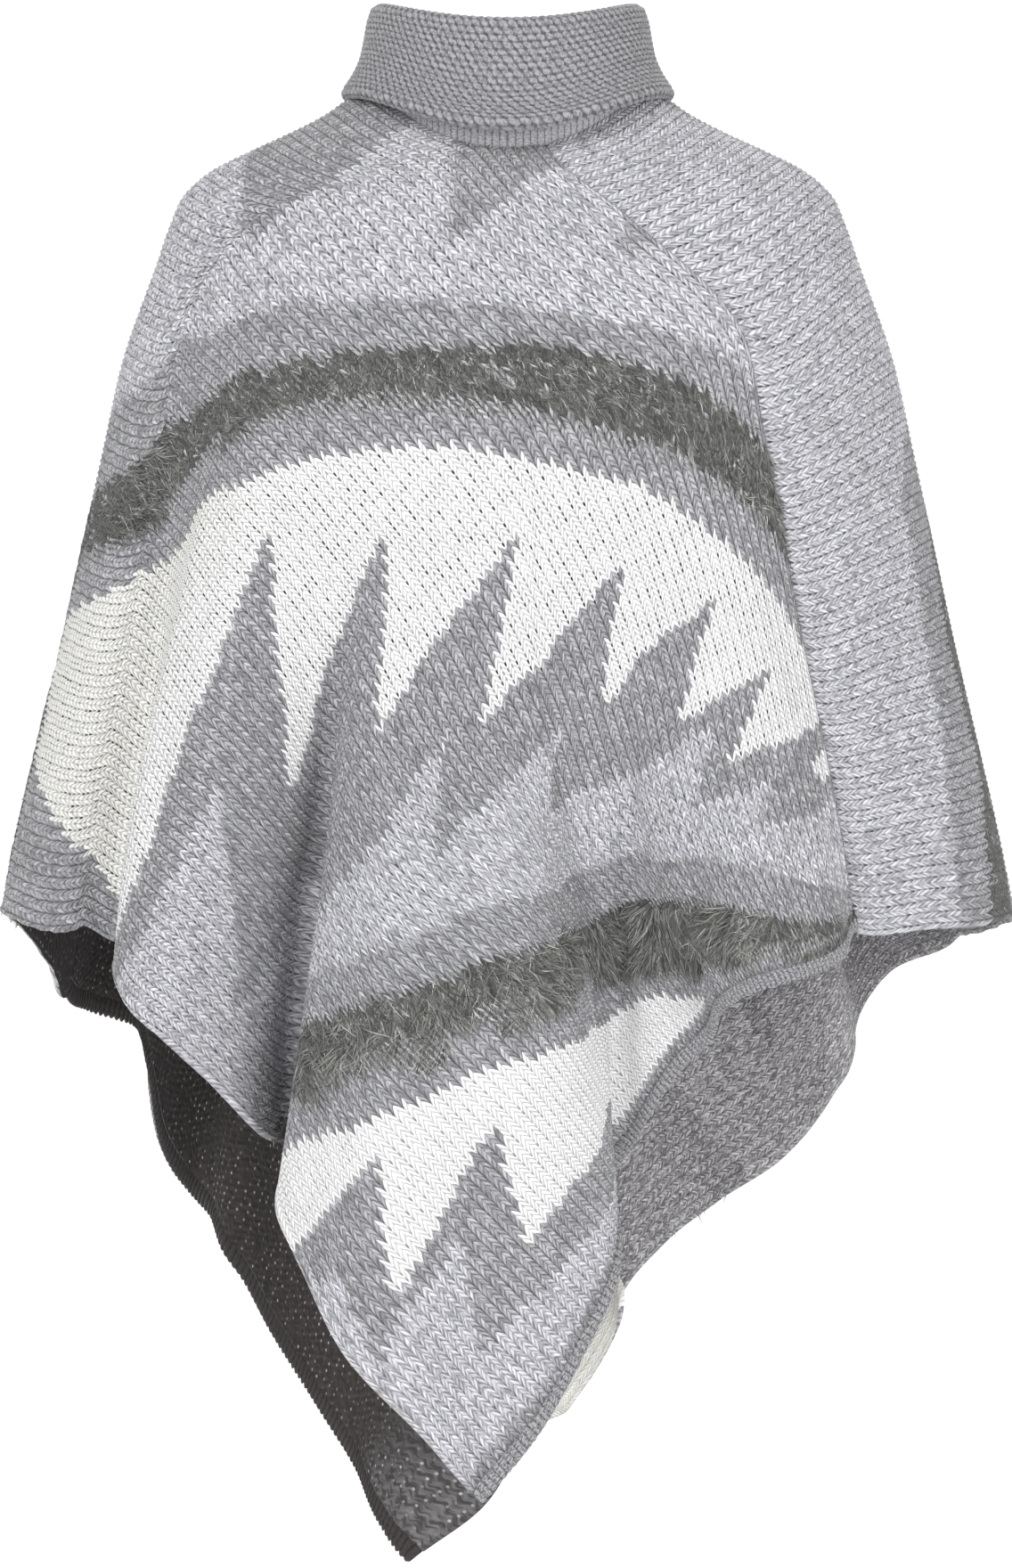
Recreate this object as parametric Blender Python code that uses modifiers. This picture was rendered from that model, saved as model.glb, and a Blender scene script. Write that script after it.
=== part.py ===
"""Knitted poncho sweater, hollow as worn, from two equal rectangles and a turned-down roll collar.

Metres, +Z up. The wearer faces -Y, and +X is the wearer's left. The origin is at the centre of
the neck, level with the tops of the shoulders, where the garment is held up.

Each rectangle hangs from the neck along straight lines of cloth. Round one corner the lines fan
out over a quarter of the body to a hanging point, and past it they run side by side over a
shoulder. The end of each rectangle is sewn to the long side of the other, beside that fan.
"""

from collections import namedtuple
from math import pi

import bpy
import numpy as np

# ---------------------------------------------------------------- driving dimensions
PANEL_WIDTH = 0.65  # of each rectangle
NECK_SHARE = 0.26  # the side of a rectangle that is left open at the neck
PANEL_LENGTH = PANEL_WIDTH + NECK_SHARE
NECK_RADIUS = 0.045  # of the scoop that the neck takes off the corner; a seam is the rest of the width
WALL = 0.0035  # chunky knit
SEAM_GAP = 0.0004  # between two rectangles that are sewn to each other
EDGING_GAP = 0.0008  # between a rectangle and its knitted band, whose ends twist in the folds
LEAST_SLANT = 0.2  # sine of the flattest angle at which a line of cloth may cross a seam
EDGING_WIDTH = 0.011  # knitted band along the end of each rectangle

SEAM_AT_NECK = 14.0  # degrees from the front towards the wearer's left
SPREAD_FRONT = (0.025, 0.205)  # along the cloth from the neck, where the lines fan out at the front seam
SPREAD_BACK = (0.000, 0.340)  # and at the back seam
FOLD_POWER = 1.2  # how a fold grows from its start to the hem
NECK_TILT_FRONT = -0.048  # the neck line dips at the front
NECK_TILT_BACK = 0.006
TILT_FADE = 0.07
ROUND_WIDE = 0.95  # powers of sine and cosine that square up an oval section
ROUND_DEEP = 0.90

ROWS_DOWN = 22  # cells from the neck to the hem
PATH_STEPS = 110
DROP_SAMPLES = 400
COLLAR_SIDES = 40

FRONT, BACK = 0, 1  # the rectangle that has the front point, and the one that has the back point
HEM_SPAN = PANEL_WIDTH + PANEL_LENGTH

# Level sections of the body of the garment without its folds, by drop below the shoulders.
Ring = namedtuple("Ring", "drop half_width front back")
RINGS = [
    Ring(-0.010, 0.086, 0.066, 0.072),
    Ring(0.002, 0.101, 0.074, 0.082),
    Ring(0.013, 0.116, 0.081, 0.089),
    Ring(0.025, 0.139, 0.088, 0.096),
    Ring(0.036, 0.163, 0.093, 0.102),
    Ring(0.048, 0.187, 0.098, 0.107),
    Ring(0.062, 0.204, 0.103, 0.112),
    Ring(0.082, 0.214, 0.109, 0.118),
    Ring(0.105, 0.222, 0.115, 0.124),
    Ring(0.167, 0.244, 0.130, 0.134),
    Ring(0.222, 0.256, 0.139, 0.139),
    Ring(0.330, 0.279, 0.148, 0.143),
    Ring(0.520, 0.320, 0.156, 0.150),
    Ring(0.700, 0.334, 0.163, 0.155),
    Ring(0.980, 0.344, 0.170, 0.158),
]

# Which way the lines of cloth hang, in degrees from the front towards the wearer's left.
Turn = namedtuple("Turn", "panel hem azimuth")
TURNS = [
    Turn(FRONT, -PANEL_WIDTH, 37.2),
    Turn(FRONT, 0.0, -3.0),
    Turn(FRONT, PANEL_WIDTH, -58.0),
    Turn(BACK, -PANEL_WIDTH, -122.0),
    Turn(BACK, 0.0, -168.0),
    Turn(BACK, PANEL_WIDTH, -243.0),
]

# The hem, row by row: its ridges, its valleys and the points between them. `hem` is the place
# along the edge of a rectangle, from its hanging point: negative along the end, positive along
# the side. `start` is the share of the way down from the neck where a fold begins.
Fold = namedtuple("Fold", "panel hem x y z start")
FOLDS = [
    Fold(FRONT, -0.65, 0.217, -0.100, -0.531, 0.35),
    Fold(FRONT, -0.60, 0.207, -0.132, -0.548, 0.35),
    Fold(FRONT, -0.55, 0.184, -0.155, -0.558, 0.35),
    Fold(FRONT, -0.49, 0.150, -0.162, -0.568, 0.35),
    Fold(FRONT, -0.44, 0.133, -0.145, -0.580, 0.40),
    Fold(FRONT, -0.39, 0.128, -0.120, -0.596, 0.45),
    Fold(FRONT, -0.33, 0.104, -0.105, -0.623, 0.50),
    Fold(FRONT, -0.27, 0.081, -0.090, -0.662, 0.50),
    Fold(FRONT, -0.22, 0.072, -0.105, -0.691, 0.50),
    Fold(FRONT, -0.16, 0.067, -0.140, -0.747, 0.50),
    Fold(FRONT, -0.11, 0.046, -0.165, -0.791, 0.45),
    Fold(FRONT, -0.05, 0.015, -0.175, -0.843, 0.40),
    Fold(FRONT, 0.00, -0.016, -0.175, -0.880, 0.40),
    Fold(FRONT, 0.06, -0.049, -0.180, -0.842, 0.40),
    Fold(FRONT, 0.13, -0.101, -0.180, -0.787, 0.40),
    Fold(FRONT, 0.18, -0.123, -0.175, -0.744, 0.40),
    Fold(FRONT, 0.23, -0.141, -0.155, -0.702, 0.40),
    Fold(FRONT, 0.27, -0.138, -0.105, -0.678, 0.40),
    Fold(FRONT, 0.31, -0.137, -0.075, -0.668, 0.40),
    Fold(FRONT, 0.35, -0.154, -0.100, -0.657, 0.40),
    Fold(FRONT, 0.40, -0.185, -0.150, -0.621, 0.35),
    Fold(FRONT, 0.45, -0.213, -0.175, -0.594, 0.25),
    Fold(FRONT, 0.49, -0.232, -0.165, -0.578, 0.18),
    Fold(FRONT, 0.53, -0.242, -0.140, -0.556, 0.15),
    Fold(FRONT, 0.57, -0.238, -0.105, -0.544, 0.15),
    Fold(FRONT, 0.61, -0.249, -0.075, -0.540, 0.15),
    Fold(FRONT, 0.68, -0.285, -0.060, -0.533, 0.15),
    Fold(FRONT, 0.74, -0.320, -0.010, -0.522, 0.20),
    Fold(FRONT, 0.80, -0.316, 0.045, -0.531, 0.30),
    Fold(FRONT, 0.85, -0.299, 0.080, -0.558, 0.30),
    Fold(BACK, -0.65, -0.290, 0.105, -0.578, 0.10),
    Fold(BACK, -0.60, -0.277, 0.128, -0.589, 0.10),
    Fold(BACK, -0.55, -0.247, 0.130, -0.599, 0.10),
    Fold(BACK, -0.51, -0.240, 0.117, -0.610, 0.10),
    Fold(BACK, -0.47, -0.236, 0.114, -0.637, 0.10),
    Fold(BACK, -0.42, -0.229, 0.138, -0.681, 0.10),
    Fold(BACK, -0.37, -0.211, 0.157, -0.712, 0.10),
    Fold(BACK, -0.34, -0.197, 0.152, -0.726, 0.10),
    Fold(BACK, -0.29, -0.181, 0.143, -0.760, 0.10),
    Fold(BACK, -0.24, -0.160, 0.155, -0.800, 0.10),
    Fold(BACK, -0.17, -0.131, 0.165, -0.848, 0.10),
    Fold(BACK, -0.10, -0.101, 0.155, -0.895, 0.10),
    Fold(BACK, -0.04, -0.086, 0.152, -0.930, 0.10),
    Fold(BACK, 0.00, -0.066, 0.155, -0.957, 0.10),
    Fold(BACK, 0.05, -0.015, 0.155, -0.918, 0.10),
    Fold(BACK, 0.10, 0.018, 0.150, -0.866, 0.10),
    Fold(BACK, 0.14, 0.044, 0.155, -0.850, 0.10),
    Fold(BACK, 0.18, 0.071, 0.140, -0.805, 0.10),
    Fold(BACK, 0.22, 0.078, 0.130, -0.771, 0.10),
    Fold(BACK, 0.26, 0.101, 0.150, -0.746, 0.10),
    Fold(BACK, 0.32, 0.137, 0.165, -0.719, 0.10),
    Fold(BACK, 0.38, 0.183, 0.150, -0.687, 0.10),
    Fold(BACK, 0.45, 0.218, 0.135, -0.639, 0.10),
    Fold(BACK, 0.50, 0.228, 0.150, -0.604, 0.10),
    Fold(BACK, 0.57, 0.254, 0.140, -0.563, 0.10),
    Fold(BACK, 0.64, 0.293, 0.110, -0.543, 0.20),
    Fold(BACK, 0.70, 0.321, 0.060, -0.530, 0.30),
    Fold(BACK, 0.76, 0.322, 0.010, -0.525, 0.30),
    Fold(BACK, 0.81, 0.299, -0.040, -0.529, 0.30),
    Fold(BACK, 0.86, 0.257, -0.080, -0.531, 0.35),
]

# The collar, from the foot of its inner layer over the rim to the edge of its outer layer.
# `dip` is the power of the cosine by which a course falls from the sides to the front.
Course = namedtuple("Course", "half_width front back side_z front_z back_z dip")
COLLAR = [
    Course(0.0822, 0.0622, 0.0682, 0.0100, -0.0375, 0.0150, 2.0),
    Course(0.0805, 0.0640, 0.0672, 0.0340, 0.0000, 0.0340, 2.0),
    Course(0.0785, 0.0636, 0.0660, 0.0520, 0.0345, 0.0480, 2.0),
    Course(0.0796, 0.0647, 0.0671, 0.0555, 0.0395, 0.0515, 2.0),
    Course(0.0823, 0.0673, 0.0698, 0.0565, 0.0412, 0.0530, 2.0),
    Course(0.0850, 0.0700, 0.0724, 0.0552, 0.0392, 0.0515, 2.0),
    Course(0.0870, 0.0718, 0.0740, 0.0505, 0.0325, 0.0478, 2.1),
    Course(0.0915, 0.0775, 0.0795, 0.0340, 0.0110, 0.0300, 2.4),
    Course(0.0965, 0.0835, 0.0855, 0.0200, -0.0080, 0.0160, 2.7),
    Course(0.1045, 0.0900, 0.0925, 0.0062, -0.0245, 0.0020, 3.0),
]

Shade = namedtuple("Shade", "colour roughness")
MARL = Shade((0.52, 0.52, 0.55, 1.0), 0.95)
GREY = Shade((0.24, 0.24, 0.25, 1.0), 0.95)
EDGE_GREY = Shade((0.27, 0.27, 0.28, 1.0), 0.95)


# ---------------------------------------------------------------- curves and the flat cut
def curve(at, places, values):
    """Smooth curve through a row of values at each place, in every column."""
    gap = np.diff(places)[:, None]
    slope = np.diff(values, axis=0) / gap
    inner = (gap[1:] * slope[:-1] + gap[:-1] * slope[1:]) / (gap[1:] + gap[:-1])
    tangent = np.vstack([slope[:1], inner, slope[-1:]])
    row = np.clip(np.searchsorted(places, at, side="right") - 1, 0, len(places) - 2)
    gap = gap[row]
    u = (at - places[row])[:, None] / gap
    ends = (2 * u**3 - 3 * u**2 + 1) * values[row] + (3 * u**2 - 2 * u**3) * values[row + 1]
    bends = (u**3 - 2 * u**2 + u) * tangent[row] + (u**3 - u**2) * tangent[row + 1]
    return ends + bends * gap


def round_hem(rows, values, turn=0.0):
    """Places and values of rows that go once round the hem, with two repeated at each end."""
    full = 2 * HEM_SPAN
    places = np.array([row_place(row.panel, row.hem) for row in rows])
    places = np.concatenate([places[-2:] - full, places, places[:2] + full])
    return places, np.vstack([values[-2:] + turn, values, values[:2] - turn])


def row_place(panel, hem):
    """Distance along the whole hem from the front seam."""
    return panel * HEM_SPAN + PANEL_WIDTH + hem


def fan(hem):
    """Angle of a line in the fan, and its distance past the fan, for each place on the hem."""
    on_end = np.arctan2(PANEL_WIDTH + hem, PANEL_WIDTH)
    on_side = np.arctan2(PANEL_WIDTH, np.maximum(PANEL_WIDTH - hem, 1e-9))
    angle = np.where(hem < 0, on_end, np.where(hem < PANEL_WIDTH, on_side, pi / 2))
    return angle, np.maximum(hem - PANEL_WIDTH, 0)


def line_length(hem):
    """Length of a line of cloth from the neck to the hem."""
    angle, _ = fan(hem)
    corner = PANEL_WIDTH / np.maximum(np.cos(angle), np.sin(angle))
    return np.where(hem < PANEL_WIDTH, corner, PANEL_WIDTH) - NECK_RADIUS


# ---------------------------------------------------------------- the drape
RING_DROPS = np.linspace(RINGS[0].drop, RINGS[-1].drop, DROP_SAMPLES)
RING_SIZES = curve(RING_DROPS, np.array([r.drop for r in RINGS]), np.array([r[1:] for r in RINGS]))


def body_point(azimuth, drop):
    """Point on the garment without its folds."""
    sine = np.sin(np.radians(azimuth))
    cosine = np.cos(np.radians(azimuth))
    wide, front, back = (np.interp(drop, RING_DROPS, RING_SIZES[:, k]) for k in range(3))
    x = wide * np.sign(sine) * np.abs(sine) ** ROUND_WIDE
    y = np.where(cosine > 0, -front, back) * np.abs(cosine) ** ROUND_DEEP
    tilt = np.where(cosine > 0, NECK_TILT_FRONT, NECK_TILT_BACK) * cosine**2
    z = tilt * np.exp(-(drop - RINGS[0].drop) / TILT_FADE) - drop
    return np.stack([x, y, z], -1)


def line_paths(panel, hem):
    """The lines of cloth from the neck to the hem on the garment without its folds.

    Each step along a line goes a fixed length of cloth over the body form."""
    angle, along = fan(hem)
    share = (NECK_RADIUS * angle + along) / (NECK_RADIUS * pi / 2 + NECK_SHARE)
    at_neck = SEAM_AT_NECK - 180 * (panel + share)
    turns = round_hem(TURNS, np.array([[t.azimuth] for t in TURNS]), 360.0)
    below = curve(row_place(panel, hem), *turns)[:, 0]
    at_front = (1 + np.cos(np.radians(at_neck - SEAM_AT_NECK))) / 2
    starts, ends = (back + (front - back) * at_front for front, back in zip(SPREAD_FRONT, SPREAD_BACK))
    step = line_length(hem) / PATH_STEPS
    drop = np.full(len(hem), RINGS[0].drop)
    points = [body_point(at_neck, drop)]
    probe = 1e-4
    for i in range(1, PATH_STEPS + 1):
        way = np.clip((step * i - starts) / (ends - starts), 0, 1)
        azimuth = at_neck + (below - at_neck) * way**2 * (3 - 2 * way)
        aside = body_point(azimuth, drop) - points[-1]
        down = (body_point(azimuth, drop + probe) - body_point(azimuth, drop)) / probe
        dot = (aside * down).sum(-1)
        square = (down * down).sum(-1)
        left = np.maximum(dot**2 - square * ((aside * aside).sum(-1) - step**2), 0)
        drop = drop + (np.sqrt(left) - dot) / square
        points.append(body_point(azimuth, drop))
    return np.array(points)


def fold_shifts():
    """How far each row of the hem lies from the form without folds, with its start."""
    panels = np.array([f.panel for f in FOLDS])
    hems = np.array([f.hem for f in FOLDS])
    ends = line_paths(panels, hems)[-1]
    shifts = np.array([[f.x, f.y, f.z] for f in FOLDS]) - ends
    starts = np.array([[f.start] for f in FOLDS])
    return round_hem(FOLDS, np.hstack([shifts, starts]))


FOLD_SHIFTS = fold_shifts()


def drape(panel, hem, down):
    """Points of the cloth for places `hem` and shares `down` of the way from neck to hem."""
    path = line_paths(panel, hem)
    step = np.clip((down * PATH_STEPS).astype(int), 0, PATH_STEPS - 1)
    part = (down * PATH_STEPS - step)[..., None]
    line = np.arange(len(hem))[None, :]
    smooth = path[step, line] * (1 - part) + path[step + 1, line] * part
    shift = curve(row_place(panel, hem), *FOLD_SHIFTS)
    start = shift[:, 3]
    grown = np.clip((down - start) / (1 - start), 0, 1) ** FOLD_POWER
    return smooth + shift[None, :, :3] * grown[..., None]


# ---------------------------------------------------------------- the cloth as one closed grid
def hem_places(panel):
    """The rows of the hem on one rectangle and the places halfway between them."""
    rows = [f.hem for f in FOLDS if f.panel == panel] + [PANEL_LENGTH]
    halfway = [(a + b) / 2 for a, b in zip(rows, rows[1:])]
    return np.array(sorted(rows + halfway))


def shares_down(hem):
    """Rows from the neck to the edging line, then the middle and the edge of the edging."""
    angle, _ = fan(hem)
    slant = np.where(hem < PANEL_WIDTH, np.maximum(np.cos(angle), np.sin(angle)), 1.0)
    band = EDGING_WIDTH / slant / line_length(hem)
    panel_rows = np.linspace(0, 1, ROWS_DOWN)[:, None] * (1 - band)[None, :]
    return np.vstack([panel_rows, (1 - band / 2)[None, :], np.ones((1, len(hem)))])


def whole_cloth():
    """Points and outward directions of both rectangles, each with its two edges at the seams."""
    points = [drape(panel, hem_places(panel), shares_down(hem_places(panel))) for panel in (FRONT, BACK)]
    ring = np.concatenate([points[FRONT][:, :-1], points[BACK][:, :-1]], axis=1)
    around = np.roll(ring, -1, axis=1) - np.roll(ring, 1, axis=1)
    outward = np.cross(around, np.gradient(ring, axis=0))
    outward /= np.linalg.norm(outward, axis=-1, keepdims=True)
    split = points[FRONT].shape[1] - 1
    closed = np.concatenate([outward, outward[:, :1]], axis=1)
    return points, [closed[:, : split + 1], closed[:, split:]]


# ---------------------------------------------------------------- meshes
def knit_material(name, shade):
    material = bpy.data.materials.new(name)
    material.use_nodes = True
    surface = material.node_tree.nodes["Principled BSDF"]
    surface.inputs["Base Color"].default_value = shade.colour
    surface.inputs["Roughness"].default_value = shade.roughness
    surface.inputs["Metallic"].default_value = 0.0
    return material


def mesh_object(name, points, faces, shade, collection):
    mesh = bpy.data.meshes.new(name)
    mesh.from_pydata(points.reshape(-1, 3).tolist(), [], faces)
    mesh.shade_smooth()
    mesh.materials.append(knit_material(name, shade))
    piece = bpy.data.objects.new(name, mesh)
    collection.objects.link(piece)
    return piece


def pulled_in(points, edge, neighbour, gap):
    """Move one line of points towards the line beside it, until it is `gap` from its old place."""
    inward = points[neighbour] - points[edge]
    inward /= np.linalg.norm(inward, axis=-1, keepdims=True)
    along = np.gradient(points[edge], axis=0)
    along /= np.linalg.norm(along, axis=-1, keepdims=True)
    across = inward - along * (inward * along).sum(-1, keepdims=True)
    slant = np.maximum(np.linalg.norm(across, axis=-1, keepdims=True), LEAST_SLANT)
    points[edge] += inward * gap / slant


def cut_wall(name, points, outward, is_cloth, wall, shade, collection):
    """A closed wall on the cells of a grid that are cloth, with a rim along their outline.

    Both sides of a seam have the same outward directions, so that their ends stay parallel."""
    rows, columns = points.shape[:2]
    sides = np.stack([points + outward * wall / 2, points - outward * wall / 2])
    number = np.arange(2 * rows * columns).reshape(2, rows, columns)
    faces = []
    used = set()
    edges = {}
    for i in range(rows - 1):
        for j in range(columns - 1):
            if not is_cloth(i, j):
                continue
            cell = [(i, j), (i, j + 1), (i + 1, j + 1), (i + 1, j)]
            faces.append([number[0][c] for c in cell])
            faces.append([number[1][c] for c in reversed(cell)])
            used.update(cell)
            for a, b in zip(cell, cell[1:] + cell[:1]):
                edges[(a, b)] = (b, a)
    for (a, b), back in edges.items():
        if back not in edges:
            faces.append([number[0][b], number[0][a], number[1][a], number[1][b]])
    kept = sorted(int(number[side][c]) for side in (0, 1) for c in used)
    renumbered = {old: new for new, old in enumerate(kept)}
    faces = [[renumbered[int(corner)] for corner in face] for face in faces]
    return mesh_object(name, sides.reshape(-1, 3)[kept], faces, shade, collection)


def make_panel(name, panel, cloth, collection):
    points = cloth[0][panel].copy()
    outward = cloth[1][panel]
    hem = hem_places(panel)
    pulled_in(points, np.s_[:, 0], np.s_[:, 1], SEAM_GAP / 2)
    pulled_in(points, np.s_[:, -1], np.s_[:, -2], SEAM_GAP / 2)

    def is_cloth(i, j):
        return i < ROWS_DOWN - 1 or hem[j] >= 0

    return cut_wall(name, points, outward, is_cloth, WALL, MARL, collection)


def make_edging(name, panel, cloth, collection):
    band = hem_places(panel) <= 0
    points = cloth[0][panel][ROWS_DOWN - 1 :, band].copy()
    outward = cloth[1][panel][ROWS_DOWN - 1 :, band]
    pulled_in(points, np.s_[0], np.s_[1], EDGING_GAP)
    pulled_in(points, np.s_[:, 0], np.s_[:, 1], SEAM_GAP / 2)
    pulled_in(points, np.s_[:, -1], np.s_[:, -2], SEAM_GAP)
    return cut_wall(name, points, outward, lambda i, j: True, WALL, EDGE_GREY, collection)


def make_collar(name, collection):
    turn = np.linspace(0, 2 * pi, COLLAR_SIDES, endpoint=False)
    sine, cosine = np.sin(turn), np.cos(turn)
    rows = []
    for course in COLLAR:
        x = course.half_width * np.sign(sine) * np.abs(sine) ** ROUND_WIDE
        y = np.where(cosine > 0, -course.front, course.back) * np.abs(cosine) ** ROUND_DEEP
        centre_z = np.where(cosine > 0, course.front_z, course.back_z)
        z = course.side_z + (centre_z - course.side_z) * np.abs(cosine) ** course.dip
        rows.append(np.stack([x, y, z], -1))
    faces = []
    for i in range(len(rows) - 1):
        for j in range(COLLAR_SIDES):
            k = (j + 1) % COLLAR_SIDES
            corners = ((i, j), (i, k), (i + 1, k), (i + 1, j))
            faces.append([row * COLLAR_SIDES + column for row, column in corners])
    collar = mesh_object(name, np.array(rows), faces, GREY, collection)
    shell = collar.modifiers.new("wall", "SOLIDIFY")
    shell.thickness = WALL
    shell.offset = 0.0
    return collar


def main():
    for old in list(bpy.data.objects):
        bpy.data.objects.remove(old)
    collection = bpy.data.collections.new("knitted_poncho_sweater")
    bpy.context.scene.collection.children.link(collection)
    cloth = whole_cloth()
    make_panel("front_panel", FRONT, cloth, collection)
    make_panel("back_panel", BACK, cloth, collection)
    make_edging("front_edging", FRONT, cloth, collection)
    make_edging("back_edging", BACK, cloth, collection)
    make_collar("roll_collar", collection)


main()
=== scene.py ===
"""Looks of the knitted poncho sweater: stitches, sawtooth bands, fur, edgings and roll collar.

Metres, +Z up, the wearer faces -Y. Places on a rectangle of cloth are s, along it from the knitted
edging to the sewn end, and t, across it from the hem to the sewn side. Courses run along t. A line
of cloth runs from the neck to the hem; `hem` is its place along the hem, 0 at the corner between
the end and the side, and `down` the share of the way down it.
"""

from collections import namedtuple
from functools import partialmethod
from math import pi, radians

import bpy
import numpy as np
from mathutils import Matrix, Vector


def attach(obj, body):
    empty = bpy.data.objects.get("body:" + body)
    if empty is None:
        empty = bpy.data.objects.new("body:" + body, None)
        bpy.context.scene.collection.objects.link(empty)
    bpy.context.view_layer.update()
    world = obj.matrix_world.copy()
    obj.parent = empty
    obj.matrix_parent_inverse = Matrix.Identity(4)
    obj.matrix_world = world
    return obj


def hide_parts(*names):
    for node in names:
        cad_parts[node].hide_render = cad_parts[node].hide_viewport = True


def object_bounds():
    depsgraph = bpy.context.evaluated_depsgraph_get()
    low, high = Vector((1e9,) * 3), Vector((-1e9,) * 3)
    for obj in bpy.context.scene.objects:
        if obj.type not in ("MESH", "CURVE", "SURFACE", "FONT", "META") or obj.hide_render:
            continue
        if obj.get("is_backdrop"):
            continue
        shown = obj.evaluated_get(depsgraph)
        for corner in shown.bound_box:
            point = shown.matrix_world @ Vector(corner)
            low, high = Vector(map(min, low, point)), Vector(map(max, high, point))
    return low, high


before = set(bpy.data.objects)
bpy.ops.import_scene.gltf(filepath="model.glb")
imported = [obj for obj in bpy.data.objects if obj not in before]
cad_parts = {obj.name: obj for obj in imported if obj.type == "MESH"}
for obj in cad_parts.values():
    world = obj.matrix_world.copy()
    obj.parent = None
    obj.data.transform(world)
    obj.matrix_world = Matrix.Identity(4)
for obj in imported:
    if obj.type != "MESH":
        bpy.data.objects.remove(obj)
CAD_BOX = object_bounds()

# ---------------- the garment's dimensions
PANEL_WIDTH = 0.65
NECK_SHARE = 0.26
PANEL_LENGTH = PANEL_WIDTH + NECK_SHARE
NECK_RADIUS = 0.045
WALL = 0.0035
EDGING_WIDTH = 0.011
HEM_SPAN = PANEL_WIDTH + PANEL_LENGTH
FRONT, BACK = 0, 1
PANEL_NAMES = ("front", "back")

SEAM_AT_NECK = 14.0  # azimuth in degrees
SPREAD_FRONT = (0.025, 0.205)  # lengths down a line over which it turns to its place below
SPREAD_BACK = (0.000, 0.340)
FOLD_POWER = 1.2
NECK_TILT_FRONT = -0.048
NECK_TILT_BACK = 0.006
TILT_FADE = 0.07
ROUND_WIDE = 0.95
ROUND_DEEP = 0.90
PATH_STEPS = 110
DROP_SAMPLES = 400
HEM_LINES = 1561
EVEN_RADII = np.linspace(NECK_RADIUS, PANEL_WIDTH, 61)
EVEN_FADE = (0.42, 0.63)  # distances from the neck corner over which the evening out ends
PROBE = 0.002  # for the directions of the cloth


def in_metres(*tables):
    """Arrays of tables that are written in millimetres, and their shares in thousandths."""
    return [np.array(rows) / 1000 for rows in tables]


# Outline of the body: drop, half width, front and back.
[RINGS] = in_metres([
    (-10, 86, 66, 72), (2, 101, 74, 82), (13, 116, 81, 89), (25, 139, 88, 96), (36, 163, 93, 102),
    (48, 187, 98, 107), (62, 204, 103, 112), (82, 214, 109, 118), (105, 222, 115, 124),
    (167, 244, 130, 134), (222, 256, 139, 139), (330, 279, 148, 143), (520, 320, 156, 150),
    (700, 334, 163, 155), (980, 344, 170, 158),
])
# Lines of cloth that hold the others: panel, place on the hem and azimuth in degrees.
TURNS = np.array([
    (FRONT, -PANEL_WIDTH, 37.2), (FRONT, 0.0, -3.0), (FRONT, PANEL_WIDTH, -58.0),
    (BACK, -PANEL_WIDTH, -122.0), (BACK, 0.0, -168.0), (BACK, PANEL_WIDTH, -243.0),
])
# Where the hem hangs: its place, x, y, z and the share of the way down at which its fold starts.
FOLDS = in_metres([
    (-650, 217, -100, -531, 350), (-600, 207, -132, -548, 350), (-550, 184, -155, -558, 350),
    (-490, 150, -162, -568, 350), (-440, 133, -145, -580, 400), (-390, 128, -120, -596, 450),
    (-330, 104, -105, -623, 500), (-270, 81, -90, -662, 500), (-220, 72, -105, -691, 500),
    (-160, 67, -140, -747, 500), (-110, 46, -165, -791, 450), (-50, 15, -175, -843, 400),
    (0, -16, -175, -880, 400), (60, -49, -180, -842, 400), (130, -101, -180, -787, 400),
    (180, -123, -175, -744, 400), (230, -141, -155, -702, 400), (270, -138, -105, -678, 400),
    (310, -137, -75, -668, 400), (350, -154, -100, -657, 400), (400, -185, -150, -621, 350),
    (450, -213, -175, -594, 250), (490, -232, -165, -578, 180), (530, -242, -140, -556, 150),
    (570, -238, -105, -544, 150), (610, -249, -75, -540, 150), (680, -285, -60, -533, 150),
    (740, -320, -10, -522, 200), (800, -316, 45, -531, 300), (850, -299, 80, -558, 300),
], [
    (-650, -290, 105, -578, 100), (-600, -277, 128, -589, 100), (-550, -247, 130, -599, 100),
    (-510, -240, 117, -610, 100), (-470, -236, 114, -637, 100), (-420, -229, 138, -681, 100),
    (-370, -211, 157, -712, 100), (-340, -197, 152, -726, 100), (-290, -181, 143, -760, 100),
    (-240, -160, 155, -800, 100), (-170, -131, 165, -848, 100), (-100, -101, 155, -895, 100),
    (-40, -86, 152, -930, 100), (0, -66, 155, -957, 100), (50, -15, 155, -918, 100),
    (100, 18, 150, -866, 100), (140, 44, 155, -850, 100), (180, 71, 140, -805, 100),
    (220, 78, 130, -771, 100), (260, 101, 150, -746, 100), (320, 137, 165, -719, 100),
    (380, 183, 150, -687, 100), (450, 218, 135, -639, 100), (500, 228, 150, -604, 100),
    (570, 254, 140, -563, 100), (640, 293, 110, -543, 200), (700, 321, 60, -530, 300),
    (760, 322, 10, -525, 300), (810, 299, -40, -529, 300), (860, 257, -80, -531, 350),
])
# Soft creases: the place where one meets the hem, how far along the hem from there it starts, the
# shares of the way down at its start and end, its half width, and its height.
CREASES = in_metres([
    (-160, -375, 500, 1100, 30, -10), (-440, -160, 400, 950, 30, -4), (305, 0, 420, 1100, 34, -11),
    (520, 40, 350, 1000, 26, 6), (605, 20, 380, 1100, 28, -8), (700, 0, 350, 1100, 35, 4),
], [
    (800, 0, 300, 950, 35, 3), (-300, 30, 300, 1100, 40, -6), (120, 20, 350, 1100, 35, -6),
    (480, 30, 350, 1100, 40, -5),
])

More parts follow.
